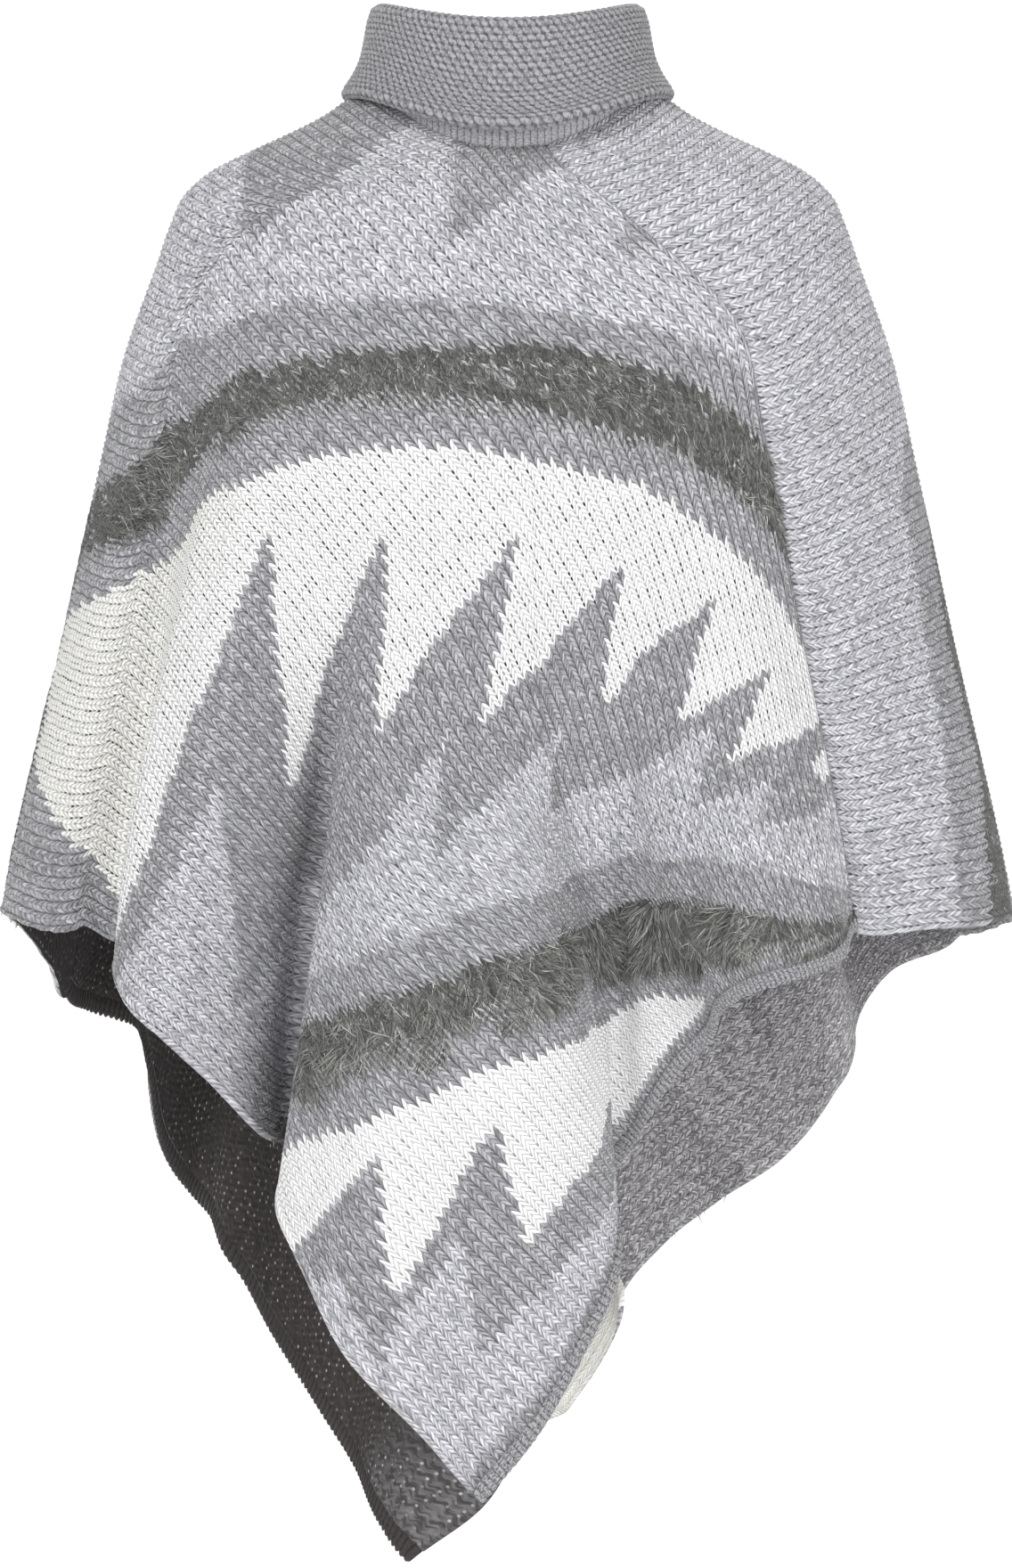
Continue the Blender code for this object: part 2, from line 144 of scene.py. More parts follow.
# Courses of the collar and of the ribbing at its foot: half width, front, back and the heights at
# the sides, the front and the back, in tenths of a millimetre, and ten times the sharpness with
# which the height changes.
TENTHS = [10000] * 6 + [10]
HALF_WIDTH, SIDE_Z = 0, 3  # columns of the two tables
COLLAR = np.array([
    (822, 622, 682, 100, -375, 150, 20), (805, 640, 672, 340, 0, 340, 20),
    (785, 636, 660, 520, 345, 480, 20), (796, 647, 671, 555, 395, 515, 20),
    (823, 673, 698, 565, 412, 530, 20), (850, 700, 724, 552, 392, 515, 20),
    (870, 718, 740, 505, 325, 478, 21), (900, 765, 785, 360, 130, 320, 24),
    (928, 815, 830, 235, -40, 190, 26), (970, 855, 872, 140, -145, 100, 28),
    (1035, 905, 925, 40, -232, 15, 30),
]) / TENTHS
STAND = np.array([
    (890, 690, 755, 60, -395, 110, 20), (890, 720, 770, 120, -310, 180, 20),
    (880, 735, 775, 240, -150, 270, 20),
]) / TENTHS

# ---------------- the knitting
WALES = 86
WALE = PANEL_WIDTH / WALES
ROWS = 195
ROW = (PANEL_LENGTH - EDGING_WIDTH) / ROWS
LEG_COLUMNS = 4  # mesh columns in a wale
SLANT = 1.25  # rows that a leg of a stitch climbs across half a wale
LEG_BOW = 0.5  # how much steeper it climbs at its foot than in a straight line
LEG_RISE = 0.0006
WALE_DIP = -0.0005
CENTRE_DIP = -0.0003
SEAM_ROLL = 0.006  # how far from a seam the cloth turns in
SEAM_DIP = 0.0024
HEM_ROLL = 0.0032  # radius of the rolled hem along the sides
SEED = 7

MARL, GREY, WHITE, FUR = range(4)

# Borders of the bands across a rectangle: distance t from its hem, then s where the marl ends, the
# fur starts, the fur ends and the white starts.
T, MARL_ENDS, FUR_STARTS, FUR_ENDS, WHITE_STARTS = range(5)
BANDS = in_metres([
    (0, 844, 805, 765, 745), (50, 836, 796, 759, 743), (100, 831, 782, 751, 741),
    (150, 833, 794, 761, 751), (190, 839, 804, 771, 744), (230, 834, 793, 748, 640),
    (260, 826, 767, 666, 611), (300, 801, 688, 635, 591), (340, 716, 646, 609, 563),
    (400, 649, 605, 571, 523), (450, 608, 566, 534, 483), (500, 561, 522, 479, 427),
    (550, 515, 485, 418, 371), (600, 462, 416, 353, 295), (630, 415, 372, 311, 245),
    (650, 379, 335, 262, 193),
], [
    (0, 355, 330, 285, 262), (50, 340, 318, 271, 248), (100, 328, 300, 257, 226),
    (150, 308, 280, 236, 209), (200, 283, 256, 214, 188), (250, 264, 232, 191, 147),
    (300, 235, 195, 150, 92), (360, 189, 145, 95, 60), (420, 152, 112, 55, 20),
    (480, 114, 76, 24, -20), (550, 82, 45, 12, -50), (620, 45, 22, 4, -80), (650, 30, 12, 0, -100),
])
# Corners of the sawteeth as (t, s): the lower side of the white and of the dark zigzags.
WHITE_TEETH = in_metres([
    (106, 744), (54, 664), (17, 600), (26, 530), (91, 516), (236, 504), (326, 529), (251, 444),
    (204, 420), (256, 417), (299, 434), (394, 466), (349, 416), (309, 361), (374, 383), (460, 398),
    (380, 316), (425, 320), (520, 330), (486, 289), (464, 246), (511, 266), (574, 273), (542, 240),
    (520, 203), (566, 211), (605, 210), (552, 165), (585, 162), (650, 148),
], [
    (0, 199), (106, 201), (48, 134), (84, 142), (176, 162), (136, 91), (180, 85), (270, 48),
    (262, 16), (440, 16),
])
GREY_TEETH = in_metres([
    (0, 516), (49, 499), (169, 473), (52, 408), (166, 390), (176, 334), (266, 316), (354, 328),
    (288, 285), (348, 279), (436, 269), (389, 231), (430, 212), (482, 185), (549, 193), (515, 138),
    (591, 143), (560, 113), (618, 100), (650, 96),
], [
    (0, 176), (34, 170), (14, 112), (52, 126), (109, 129), (67, 66), (107, 66), (165, 51),
    (230, 22), (650, 16),
])
SPIKES = in_metres([
    (441, 661), (512, 654), (564, 666), (605, 688), (655, 700), (655, 830), (605, 807), (590, 794),
    (524, 756), (485, 694),
], [
    (544, 570), (594, 569), (655, 576), (655, 600), (638, 606), (613, 625), (605, 651), (591, 625),
    (575, 603),
], [
    (625, 503), (639, 494), (655, 493), (655, 522), (645, 516),
])
[WHITE_PATCH] = in_metres([(622, 131), (660, 129), (660, 108), (637, 112)])
# How much nearer the edging the upper band of the back rectangle runs, as (t, drop).
[BACK_BAND_DROP] = in_metres([
    (0, 2), (60, 8), (100, 17), (150, 30), (190, 40), (220, 42), (280, 22)
])
BACK_GREY_PINCH = 0.012  # how much narrower the grey above the fur is at the hem of the back
EDGE_STRIP = 0.020  # the first courses are knitted in the edging's grey
CREAMY = (0.50, 0.62)  # s over which the white turns towards cream
CREAM_SHARE = 0.8
GREY_LOOPS = 0.12  # share of the fur's stitches that show grey
LEGS_FROM, LEGS_SLOPE = 0.16, 0.85  # on the wrong side, legs show past the s of a slanted line
FRONT_LEGS_TO = 0.78
CREAM_INSIDE = (0.100, 0.220, 0.062)  # s between which, and t up to which, cream shows there
PALE_TIP = (0.02, 0.12)  # distances from the point over which its paler charcoal fades

# Of the upper and of the lower band of fur.
FUR_OVERHANG = (-0.006, 0.006)  # how far the strands hang past their lowest roots
RAGGED = (0.0060, 0.0150)  # how far the lower edge strays from its line
FUR_LEAN = (-0.25, -0.55)  # how far the strands lean towards the hem, in radians
STRAND_LENGTHS = (0.0115, 0.0145)
STRANDS = [(34000, 30000), (24000, 15000)]  # how many there are on each panel
STRAND_WIDTH = 0.00055
FUR_FADE = 0.003  # how far below its upper border the knitted rows of the yarn start
FUR_RISE = 0.004  # how far above it the highest strands start
NOTCHES = 46  # turning points of the ragged lower edge from hem to seam
TUFT = 0.012  # distance between the tufts into which the strands lean together
TUFT_SIZES = 75  # places along a band at which the length of the strands changes
FLAT_FUR = (0.20, 0.30)  # t over which the back's upper band stops lying flat and short
STRAND_SHADES = [
    (0.170, 0.172, 0.161), (0.070, 0.071, 0.066), (0.280, 0.282, 0.268), (0.43, 0.43, 0.41)
]
SHADE_CHANCES = [0.38, 0.32, 0.26, 0.04]
STRAND_GAIN = np.array([0.55, 0.55, 1.0, 1.0, 1.25])  # from the root of a strand to its tip

# Yarns, linear colour: the thread, its darker flecks and the share that is fleck.
Yarn = namedtuple("Yarn", "thread fleck share")
MARL_GREY = Yarn((0.545, 0.545, 0.572), (0.250, 0.250, 0.268), 0.42)
OUTSIDE = [
    Yarn((0.79, 0.79, 0.837), (0.31, 0.31, 0.34), 0.36),
    MARL_GREY,
    Yarn((0.97, 0.97, 0.975), (0.83, 0.83, 0.83), 0.18),
    Yarn((0.150, 0.152, 0.145), (0.080, 0.081, 0.077), 0.50),
]
CREAM = Yarn((0.93, 0.92, 0.87), (0.72, 0.70, 0.65), 0.22)
CHARCOAL = Yarn((0.060, 0.053, 0.052), (0.040, 0.035, 0.034), 0.40)
TIP_INSIDE = Yarn((0.190, 0.185, 0.190), (0.075, 0.071, 0.073), 0.45)
FLOATS, MARL_LEGS, STREAK_LEGS, CREAM_LEGS = range(4)  # what shows on the wrong side
INSIDE = [
    CHARCOAL,
    Yarn((0.76, 0.742, 0.765), (0.200, 0.193, 0.204), 0.44),
    Yarn((0.66, 0.643, 0.666), (0.170, 0.164, 0.173), 0.50),
    CREAM,
]
COLLAR_GREY = (0.390, 0.390, 0.409), (0.205, 0.205, 0.218)
EDGING_GREY = (0.430, 0.430, 0.447), (0.130, 0.130, 0.140)
# Painted light: the ribbing at the collar's foot is paler than the edging's grey, so that it looks
# lit in the shadow of the collar's lip.
STAND_GREY_PAINTED_LIGHT = (0.60, 0.60, 0.63), (0.33, 0.33, 0.35)
SPECK_GREY = (0.62, 0.61, 0.60, 1.0)

# The knitted materials.
PLY = (2.6, 1.3, 7.7)  # cells of noise in a stitch across and along, and between its legs
HAIRS = (9.0, 17.0, 3.1)
DOT = (4.4, 2.1)  # half widths of the holes at the foot of each V in half a wale and in a row
DASH = (5.0, 2.0)  # and of the thinner ones between two wales
DASH_SHARE = 0.50
CALM = np.array([(0.28, 0.23), (0.46, 0.40)])  # s and t over which the painted shade and the dip of the holes get fainter
LEG_GAP_SHADE = 0.55  # darkness of the painted shade in the lines between the legs
SLOPE = 0.22  # of a purl loop, in pairs of rows for each loop
LOOP_FLAT = 4.2  # half heights of a purl loop in a pair of rows
LOOP_SHORT = 1.7  # half widths of a purl loop in its place along the row

# The edgings, the collar and the ribbing at its foot.
RIBS = 128
RIB_COLUMNS = 6
RIB_DEPTH = 0.0007
RIB_HEIGHT = 0.0045  # of the cloth that one row of ribbing covers
EDGING_SIDES = 14
EDGING_THICK = 0.0027
EDGING_GAP = 0.0004  # at its two ends
SCALLOPS = (0.0010, 0.0022)  # depth of the notches along the outer edge of each panel
LOOPS_ROUND = 100
COLLAR_COLUMNS = LOOPS_ROUND * 5
LOOP_PAIR = 0.0070  # height of two rows of loops
SIDE_ROWS = 128
BACK_ROWS = 46
LIP_RADIUS = 0.0030  # of the lower edge, which curls outward and up
LIP_TURN = radians(215)
LIP_ROWS = 12
LIP_END = 0.0022  # length over which the wall thins at its two ends
PURL_RISE = 0.0014
FOOT_LENGTH = 0.030  # ribbed part of the inner layer
FOOT_RIB = 0.0010
STAND_RIBS = 130
STAND_THICK = 0.0012
STAND_ROWS = 12


# ---------------- the drape
def smoothstep(x, low, high):
    x = np.clip((x - low) / (high - low), 0, 1)
    return x * x * (3 - 2 * x)


def unit(vectors):
    return vectors / np.maximum(np.linalg.norm(vectors, axis=-1, keepdims=True), 1e-12)


def curve(at, places, values):
    """Smooth curve through a row of values at each place, in every column."""
    gap = np.diff(places)[:, None]
    slope = np.diff(values, axis=0) / gap
    inner = (gap[1:] * slope[:-1] + gap[:-1] * slope[1:]) / (gap[1:] + gap[:-1])
    tangent = np.vstack([slope[:1], inner, slope[-1:]])
    row = np.clip(np.searchsorted(places, at, side="right") - 1, 0, len(places) - 2)
    gap = gap[row]
    u = (at - places[row])[:, None] / gap
    ends = (2 * u**3 - 3 * u**2 + 1) * values[row] + (3 * u**2 - 2 * u**3) * values[row + 1]
    bends = (u**3 - 2 * u**2 + u) * tangent[row] + (u**3 - u**2) * tangent[row + 1]
    return ends + bends * gap


def on_grid(table, row, column):
    """Values between the rows and columns of a table."""
    i = np.clip(row.astype(int), 0, table.shape[0] - 2)
    j = np.clip(column.astype(int), 0, table.shape[1] - 2)
    extra = (1,) * (table.ndim - 2)
    a, b = (column - j).reshape(-1, *extra), (row - i).reshape(-1, *extra)
    upper = table[i, j] * (1 - a) + table[i, j + 1] * a
    lower = table[i + 1, j] * (1 - a) + table[i + 1, j + 1] * a
    return upper * (1 - b) + lower * b


def hem_place(panel, hem):
    """Distance along the whole hem from the front seam."""
    return panel * HEM_SPAN + PANEL_WIDTH + hem


def round_hem(panels, hems, values, turn=0.0):
    """Places and values of rows that go once round the hem, with two repeated at each end."""
    full = 2 * HEM_SPAN
    places = hem_place(panels, hems)
    places = np.concatenate([places[-2:] - full, places, places[:2] + full])
    return places, np.vstack([values[-2:] + turn, values, values[:2] - turn])


def fan(hem):
    """Angle of a line in the fan, and its distance past the fan, for each place on the hem."""
    on_end = np.arctan2(PANEL_WIDTH + hem, PANEL_WIDTH)
    on_side = np.arctan2(PANEL_WIDTH, np.maximum(PANEL_WIDTH - hem, 1e-9))
    angle = np.where(hem < 0, on_end, np.where(hem < PANEL_WIDTH, on_side, pi / 2))
    return angle, np.maximum(hem - PANEL_WIDTH, 0)


def line_length(hem):
    """Length of a line of cloth from the neck to the hem."""
    angle, _ = fan(hem)
    corner = PANEL_WIDTH / np.maximum(np.cos(angle), np.sin(angle))
    return np.where(hem < PANEL_WIDTH, corner, PANEL_WIDTH) - NECK_RADIUS


TOP_DROP, LOWEST_DROP = RINGS[0, 0], RINGS[-1, 0]
RING_DROPS = np.linspace(TOP_DROP, LOWEST_DROP, DROP_SAMPLES)
RING_SIZES = curve(RING_DROPS, RINGS[:, 0], RINGS[:, 1:])
TURN_CURVE = round_hem(TURNS[:, 0], TURNS[:, 1], TURNS[:, 2:], 360.0)


def oval(sine, cosine, wide, front, back):
    """Points x and y of an oval course."""
    x = wide * np.sign(sine) * np.abs(sine) ** ROUND_WIDE
    return x, np.where(cosine > 0, -front, back) * np.abs(cosine) ** ROUND_DEEP


def body_point(azimuth, drop):
    """Point on the garment without its folds."""
    sine, cosine = np.sin(np.radians(azimuth)), np.cos(np.radians(azimuth))
    x, y = oval(sine, cosine, *(np.interp(drop, RING_DROPS, sizes) for sizes in RING_SIZES.T))
    tilt = np.where(cosine > 0, NECK_TILT_FRONT, NECK_TILT_BACK) * cosine**2
    return np.stack([x, y, tilt * np.exp(-(drop - TOP_DROP) / TILT_FADE) - drop], -1)


def line_paths(panel, hem):
    """The lines of cloth from the neck to the hem on the garment without its folds."""
    angle, along = fan(hem)
    share = (NECK_RADIUS * angle + along) / (NECK_RADIUS * pi / 2 + NECK_SHARE)
    at_neck = SEAM_AT_NECK - 180 * (panel + share)
    below = curve(hem_place(panel, hem), *TURN_CURVE)[:, 0]
    at_front = (1 + np.cos(np.radians(at_neck - SEAM_AT_NECK))) / 2
    starts, ends = (b + (f - b) * at_front for f, b in zip(SPREAD_FRONT, SPREAD_BACK))
    step = line_length(hem) / PATH_STEPS
    drop = np.full(len(hem), TOP_DROP)
    points = [body_point(at_neck, drop)]
    probe = 1e-4
    for i in range(1, PATH_STEPS + 1):
        way = np.clip((step * i - starts) / (ends - starts), 0, 1)
        azimuth = at_neck + (below - at_neck) * way**2 * (3 - 2 * way)
        aside = body_point(azimuth, drop) - points[-1]
        down = (body_point(azimuth, drop + probe) - body_point(azimuth, drop)) / probe
        dot = (aside * down).sum(-1)
        square = (down * down).sum(-1)
        left = np.maximum(dot**2 - square * ((aside * aside).sum(-1) - step**2), 0)
        drop = drop + (np.sqrt(left) - dot) / square
        points.append(body_point(azimuth, drop))
    return np.array(points)


def fold_shifts():
    """How far each row of the hem lies from the form without folds, with its start."""
    panels = np.repeat((FRONT, BACK), [len(rows) for rows in FOLDS])
    folds = np.vstack(FOLDS)
    hems = folds[:, 0]
    shifts = folds[:, 1:4] - line_paths(panels, hems)[-1]
    return round_hem(panels, hems, np.hstack([shifts, folds[:, 4:]]))


FOLD_SHIFTS = fold_shifts()
HEM = np.linspace(-PANEL_WIDTH, PANEL_LENGTH, HEM_LINES)
PATHS = [line_paths(panel, HEM) for panel in (FRONT, BACK)]


def hem_column(hem):
    return (hem + PANEL_WIDTH) / HEM_SPAN * (HEM_LINES - 1)


def flat_place(s, t):
    """The line of cloth through a flat place, and the share of the way down it."""
    s, t = np.clip(s, 0, PANEL_LENGTH), np.clip(t, 0, PANEL_WIDTH)
    beside, below = np.maximum(PANEL_WIDTH - s, 0), PANEL_WIDTH - t
    angle = np.clip(np.arctan2(below, beside), 0, pi / 2 - 1e-9)
    tangent = np.tan(angle)
    corner = np.where(angle <= pi / 4, tangent - 1, 1 - 1 / np.maximum(tangent, 1e-9))
    hem = np.where(s <= PANEL_WIDTH, PANEL_WIDTH * corner, s)
    return hem, down_line(hem, np.hypot(beside, below))


def down_line(hem, radius):
    return np.clip((radius - NECK_RADIUS) / line_length(hem), 0, 1)


def on_line(panel, hem, down):
    """Points on the lines of cloth, with their folds."""
    shift = curve(hem_place(panel, hem), *FOLD_SHIFTS)
    start = shift[:, 3]
    grown = np.clip((down - start) / (1 - start), 0, 1) ** FOLD_POWER
    return on_grid(PATHS[panel], down * PATH_STEPS, hem_column(hem)) + shift[:, :3] * grown[:, None]


def evened_lines(panel):
    """For rings of cloth round the neck, the line that each flat line has slipped to.

    Between its two seams the cloth shares out its width evenly over the body."""
    angle, along = fan(HEM)
    rows = []
    for radius in EVEN_RADII:
        points = on_line(panel, HEM, down_line(HEM, radius))
        covered = np.concatenate([[0], np.cumsum(np.linalg.norm(np.diff(points, axis=0), axis=1))])
        cut = radius * angle + along
        even = np.interp(cut / cut[-1] * covered[-1], covered, HEM)
        rows.append(HEM + (even - HEM) * (1 - smoothstep(radius, *EVEN_FADE)))
    return np.array(rows)


EVENED = [evened_lines(panel) for panel in (FRONT, BACK)]


def hung_place(panel, s, t):
    """The line of cloth that a flat place hangs on, and the share of the way down it."""
    hem, down = flat_place(s, t)
    radius = NECK_RADIUS + down * line_length(hem)
    ring = (radius - NECK_RADIUS) / (PANEL_WIDTH - NECK_RADIUS) * (len(EVEN_RADII) - 1)
    slipped = on_grid(EVENED[panel], ring, hem_column(hem))
    hung = np.where(radius < PANEL_WIDTH, slipped, hem)
    return hung, down_line(hung, radius)


def cloth(panel, s, t):
    """Points on the middle of the cloth with its folds, without creases."""
    return on_line(panel, *hung_place(panel, s, t))


def creased(panel, hem, down):
    """How far the creases lift the cloth."""
    lift = np.zeros(len(hem))
    for place, lean, start, end, width, depth in CREASES[panel]:
        way = np.clip((down - start) / (end - start), 0, 1)
        middle = place + lean * (1 - way)
        fade = np.sin(pi / 2 * np.minimum(way * 1.6, 1.0)) ** 2
        if end <= 1:
            fade = fade * np.clip((1 - way) * 4, 0, 1)
        lift += depth * fade * np.exp(-(((hem - middle) / width) ** 2))
    return lift


def surface(panel, s, t):
    """Points on the middle of the cloth, with its outward direction and its directions of s and t.

    Places a little past a hem lie straight on from it."""
    s, t = np.asarray(s, float), np.asarray(t, float)
    held_s, held_t = np.clip(s, 0, PANEL_LENGTH), np.clip(t, 0, PANEL_WIDTH)
    ends_s = np.clip([held_s - PROBE, held_s + PROBE], 0, PANEL_LENGTH)
    ends_t = np.clip([held_t - PROBE, held_t + PROBE], 0, PANEL_WIDTH)
    along = cloth(panel, ends_s[1], held_t) - cloth(panel, ends_s[0], held_t)
    across = cloth(panel, held_s, ends_t[1]) - cloth(panel, held_s, ends_t[0])
    outward = unit(np.cross(across, along))
    along, across = unit(along), unit(across)
    points = cloth(panel, held_s, held_t)
    points += along * (s - held_s)[:, None] + across * (t - held_t)[:, None]
    points += outward * creased(panel, *hung_place(panel, held_s, held_t))[:, None]
    return points, outward, along, across


# ---------------- the pattern
def inside(t, s, corners):
    """Whether places lie in a polygon of (t, s) corners."""
    hit = np.zeros(np.shape(t), bool)
    for (t0, s0), (t1, s1) in zip(corners, np.roll(corners, -1, axis=0)):
        if s0 != s1:
            crosses = (s0 > s) != (s1 > s)
            hit ^= crosses & (t < t0 + (s - s0) * (t1 - t0) / (s1 - s0))
    return hit


def border(band, column, t):
    return np.interp(t, band[:, T], band[:, column])


def zones(s, t):
    """Which yarn a stitch is knitted in."""
    zone = np.full(np.shape(s), MARL)
    furs = zip(BANDS, WHITE_TEETH, GREY_TEETH, FUR_OVERHANG, RAGGED)
    for band, white_teeth, grey_teeth, overhang, ragged in furs:
        zone[inside(t, s, np.vstack([band[:, [T, MARL_ENDS]], grey_teeth[::-1]]))] = GREY
        toothed = (band[:, T] >= white_teeth[0, 0]) & (band[:, T] <= white_teeth[-1, 0] + 0.001)
        top = band[toothed][:, [T, WHITE_STARTS]]
        zone[inside(t, s, np.vstack([top, white_teeth[::-1]]))] = WHITE
        lowest = border(band, FUR_ENDS, t) + overhang + 0.5 * ragged
        zone[(s < border(band, FUR_STARTS, t) - FUR_FADE) & (s > lowest)] = FUR
    for spike in SPIKES:
        zone[inside(t, s, spike)] = GREY
    zone[inside(t, s, WHITE_PATCH)] = WHITE
    zone[s < EDGE_STRIP] = GREY
    return zone


def band_place(panel, s, t):
    """Where a stitch is in the pattern, whose bands run a little lower on the back."""
    drop = np.interp(t, *BACK_BAND_DROP.T) * (1 - smoothstep(t, 0.28, 0.40))
    pinch = BACK_GREY_PINCH * (1 - smoothstep(t, 0.0, 0.10)) * smoothstep(s, 0.79, 0.84)
    return s + (panel == BACK) * (drop * smoothstep(s, 0.64, 0.74) + pinch)


def yarn_rows(yarns, which):
    """Thread colour with fleck share, and fleck colour, for each stitch."""
    thread = np.array([[*yarn.thread, yarn.share] for yarn in yarns])[which]
    return thread, np.array([[*yarn.fleck, 1.0] for yarn in yarns])[which]


def outside_yarn(panel, s, t, rng):
    zone = zones(band_place(panel, s, t), t)
    thread, fleck = yarn_rows(OUTSIDE, zone)
    creamy = CREAM_SHARE * (zone == WHITE) * smoothstep(s, *CREAMY)
    thread[:, :3] += (np.array(CREAM.thread) - thread[:, :3]) * creamy[:, None]
    loops = (zone == FUR) & (rng.random(len(s)) < GREY_LOOPS)
    thread[loops, :3] = MARL_GREY.thread
    return thread, fleck


def inside_yarn(panel, s, t, rng):
    """The wrong side, and whether it shows legs of stitches like the right side.

    Charcoal floats lie behind the half beside the edging, and grey marl behind the other."""
    zone = zones(band_place(panel, s, t), t)
    legs = (s > LEGS_FROM + LEGS_SLOPE * t) & ((panel == BACK) | (s <= FRONT_LEGS_TO))
    shown = np.where(legs, np.where(zone == MARL, MARL_LEGS, STREAK_LEGS), FLOATS)
    low, high, wide = CREAM_INSIDE
    shown[(s > low) & (s < high) & (t < wide)] = CREAM_LEGS
    thread, fleck = yarn_rows(INSIDE, shown)
    pale = (1 - smoothstep(t + 0.6 * s, *PALE_TIP)) * (shown == FLOATS)
    pale *= rng.uniform(0.8, 1.1, len(s))
    for rows, tip in ((thread, TIP_INSIDE.thread), (fleck, TIP_INSIDE.fleck)):
        rows[:, :3] += pale[:, None] * (np.array(tip) - rows[:, :3])
    return thread, fleck, shown != FLOATS


# ---------------- material nodes
class Value:
    """A number or a colour that varies over a surface; arithmetic on it adds math nodes."""

    def __init__(self, nodes, socket):
        self.nodes, self.socket = nodes, socket

    def math(self, operation, *others):
        return self.nodes.node("Math", dict(enumerate((self, *others))), operation=operation)[0]

    def __rsub__(self, other):
        return self * -1.0 + other

    def step(self, low, high):
        """0 at low and 1 at high, smooth between them."""
        inputs = {"Value": self, "From Min": low, "From Max": high}
        return self.nodes.node("MapRange", inputs, interpolation_type="SMOOTHSTEP")[0]

    def saw(self):
        """1 at whole numbers and 0 halfway between them."""
        return abs(self % 1.0 * 2.0 - 1.0)

    def dome(self, height=1.0):
        """Square root of what the value's square leaves of a height."""
        return (height - self * self).larger(0.0) ** 0.5


MATH = {
    "ADD": "__add__ __radd__", "SUBTRACT": "__sub__", "MULTIPLY": "__mul__ __rmul__",
    "FLOORED_MODULO": "__mod__", "POWER": "__pow__", "ABSOLUTE": "__abs__", "FLOOR": "floor",
    "SINE": "sine", "MAXIMUM": "larger", "MINIMUM": "smaller",
}
for operation, methods in MATH.items():
    for method in methods.split():
        setattr(Value, method, partialmethod(Value.math, operation))


class Nodes:
    """Short ways to write the node tree of one material."""

    def __init__(self, name):
        self.material = bpy.data.materials.new(name)
        self.material.use_nodes = True
        self.tree = self.material.node_tree
        self.shader = self.tree.nodes["Principled BSDF"]

    def fill(self, node, inputs):
        """Link each input of a node to a value, or set it to a number."""
        for key, value in inputs.items():
            if isinstance(value, Value):
                self.tree.links.new(value.socket, node.inputs[key])
            else:
                node.inputs[key].default_value = value

    def node(self, kind, inputs, **settings):
        """The outputs of a new node."""
        made = self.tree.nodes.new("ShaderNode" + kind)
        for key, value in settings.items():
            setattr(made, key, value)
        self.fill(made, inputs)
        return [Value(self, socket) for socket in made.outputs]

    def place(self, x, y, z=0.0):
        return self.node("CombineXYZ", {0: x, 1: y, 2: z})[0]

    def split(self, vector):
        return self.node("SeparateXYZ", {0: vector})

    def noise(self, vector, scale, detail=2.0, roughness=0.5):
        inputs = {"Vector": vector, "Scale": scale, "Detail": detail, "Roughness": roughness}
        return self.node("TexNoise", inputs)[0]

    def chance(self, cell):
        """A random number and a random colour for each cell."""
        return self.node("TexWhiteNoise", {"Vector": cell}, noise_dimensions="3D")

    def attribute(self, name):
        """Colour and alpha."""
        colour, _, _, alpha = self.node("Attribute", {}, attribute_name=name)
        return colour, alpha

    def stitch_place(self):
        return self.split(self.node("UVMap", {}, uv_map="knit")[0])[:2]

    def position(self):
        return self.node("NewGeometry", {})[0]

    def mix(self, share, a, b):
        return self.node("Mix", {0: share, 6: a, 7: b}, data_type="RGBA")[2]

    def finish(self, colour, light, roughness, relief, distance, strength, sheen):
        """A colour times its light, with a bumped relief and a sheen."""
        bump = {"Height": relief, "Distance": distance, "Strength": strength}
        self.fill(self.shader, {
            "Base Color": self.node("VectorMath", {0: colour, 3: light}, operation="SCALE")[0],
            "Roughness": roughness,
            "Normal": self.node("Bump", bump)[0],
            "Sheen Weight": sheen,
            "Sheen Roughness": 0.45,
            "Sheen Tint": (1.0, 1.0, 1.0, 1.0),
            "Specular IOR Level": 0.25,
        })
        return self.material


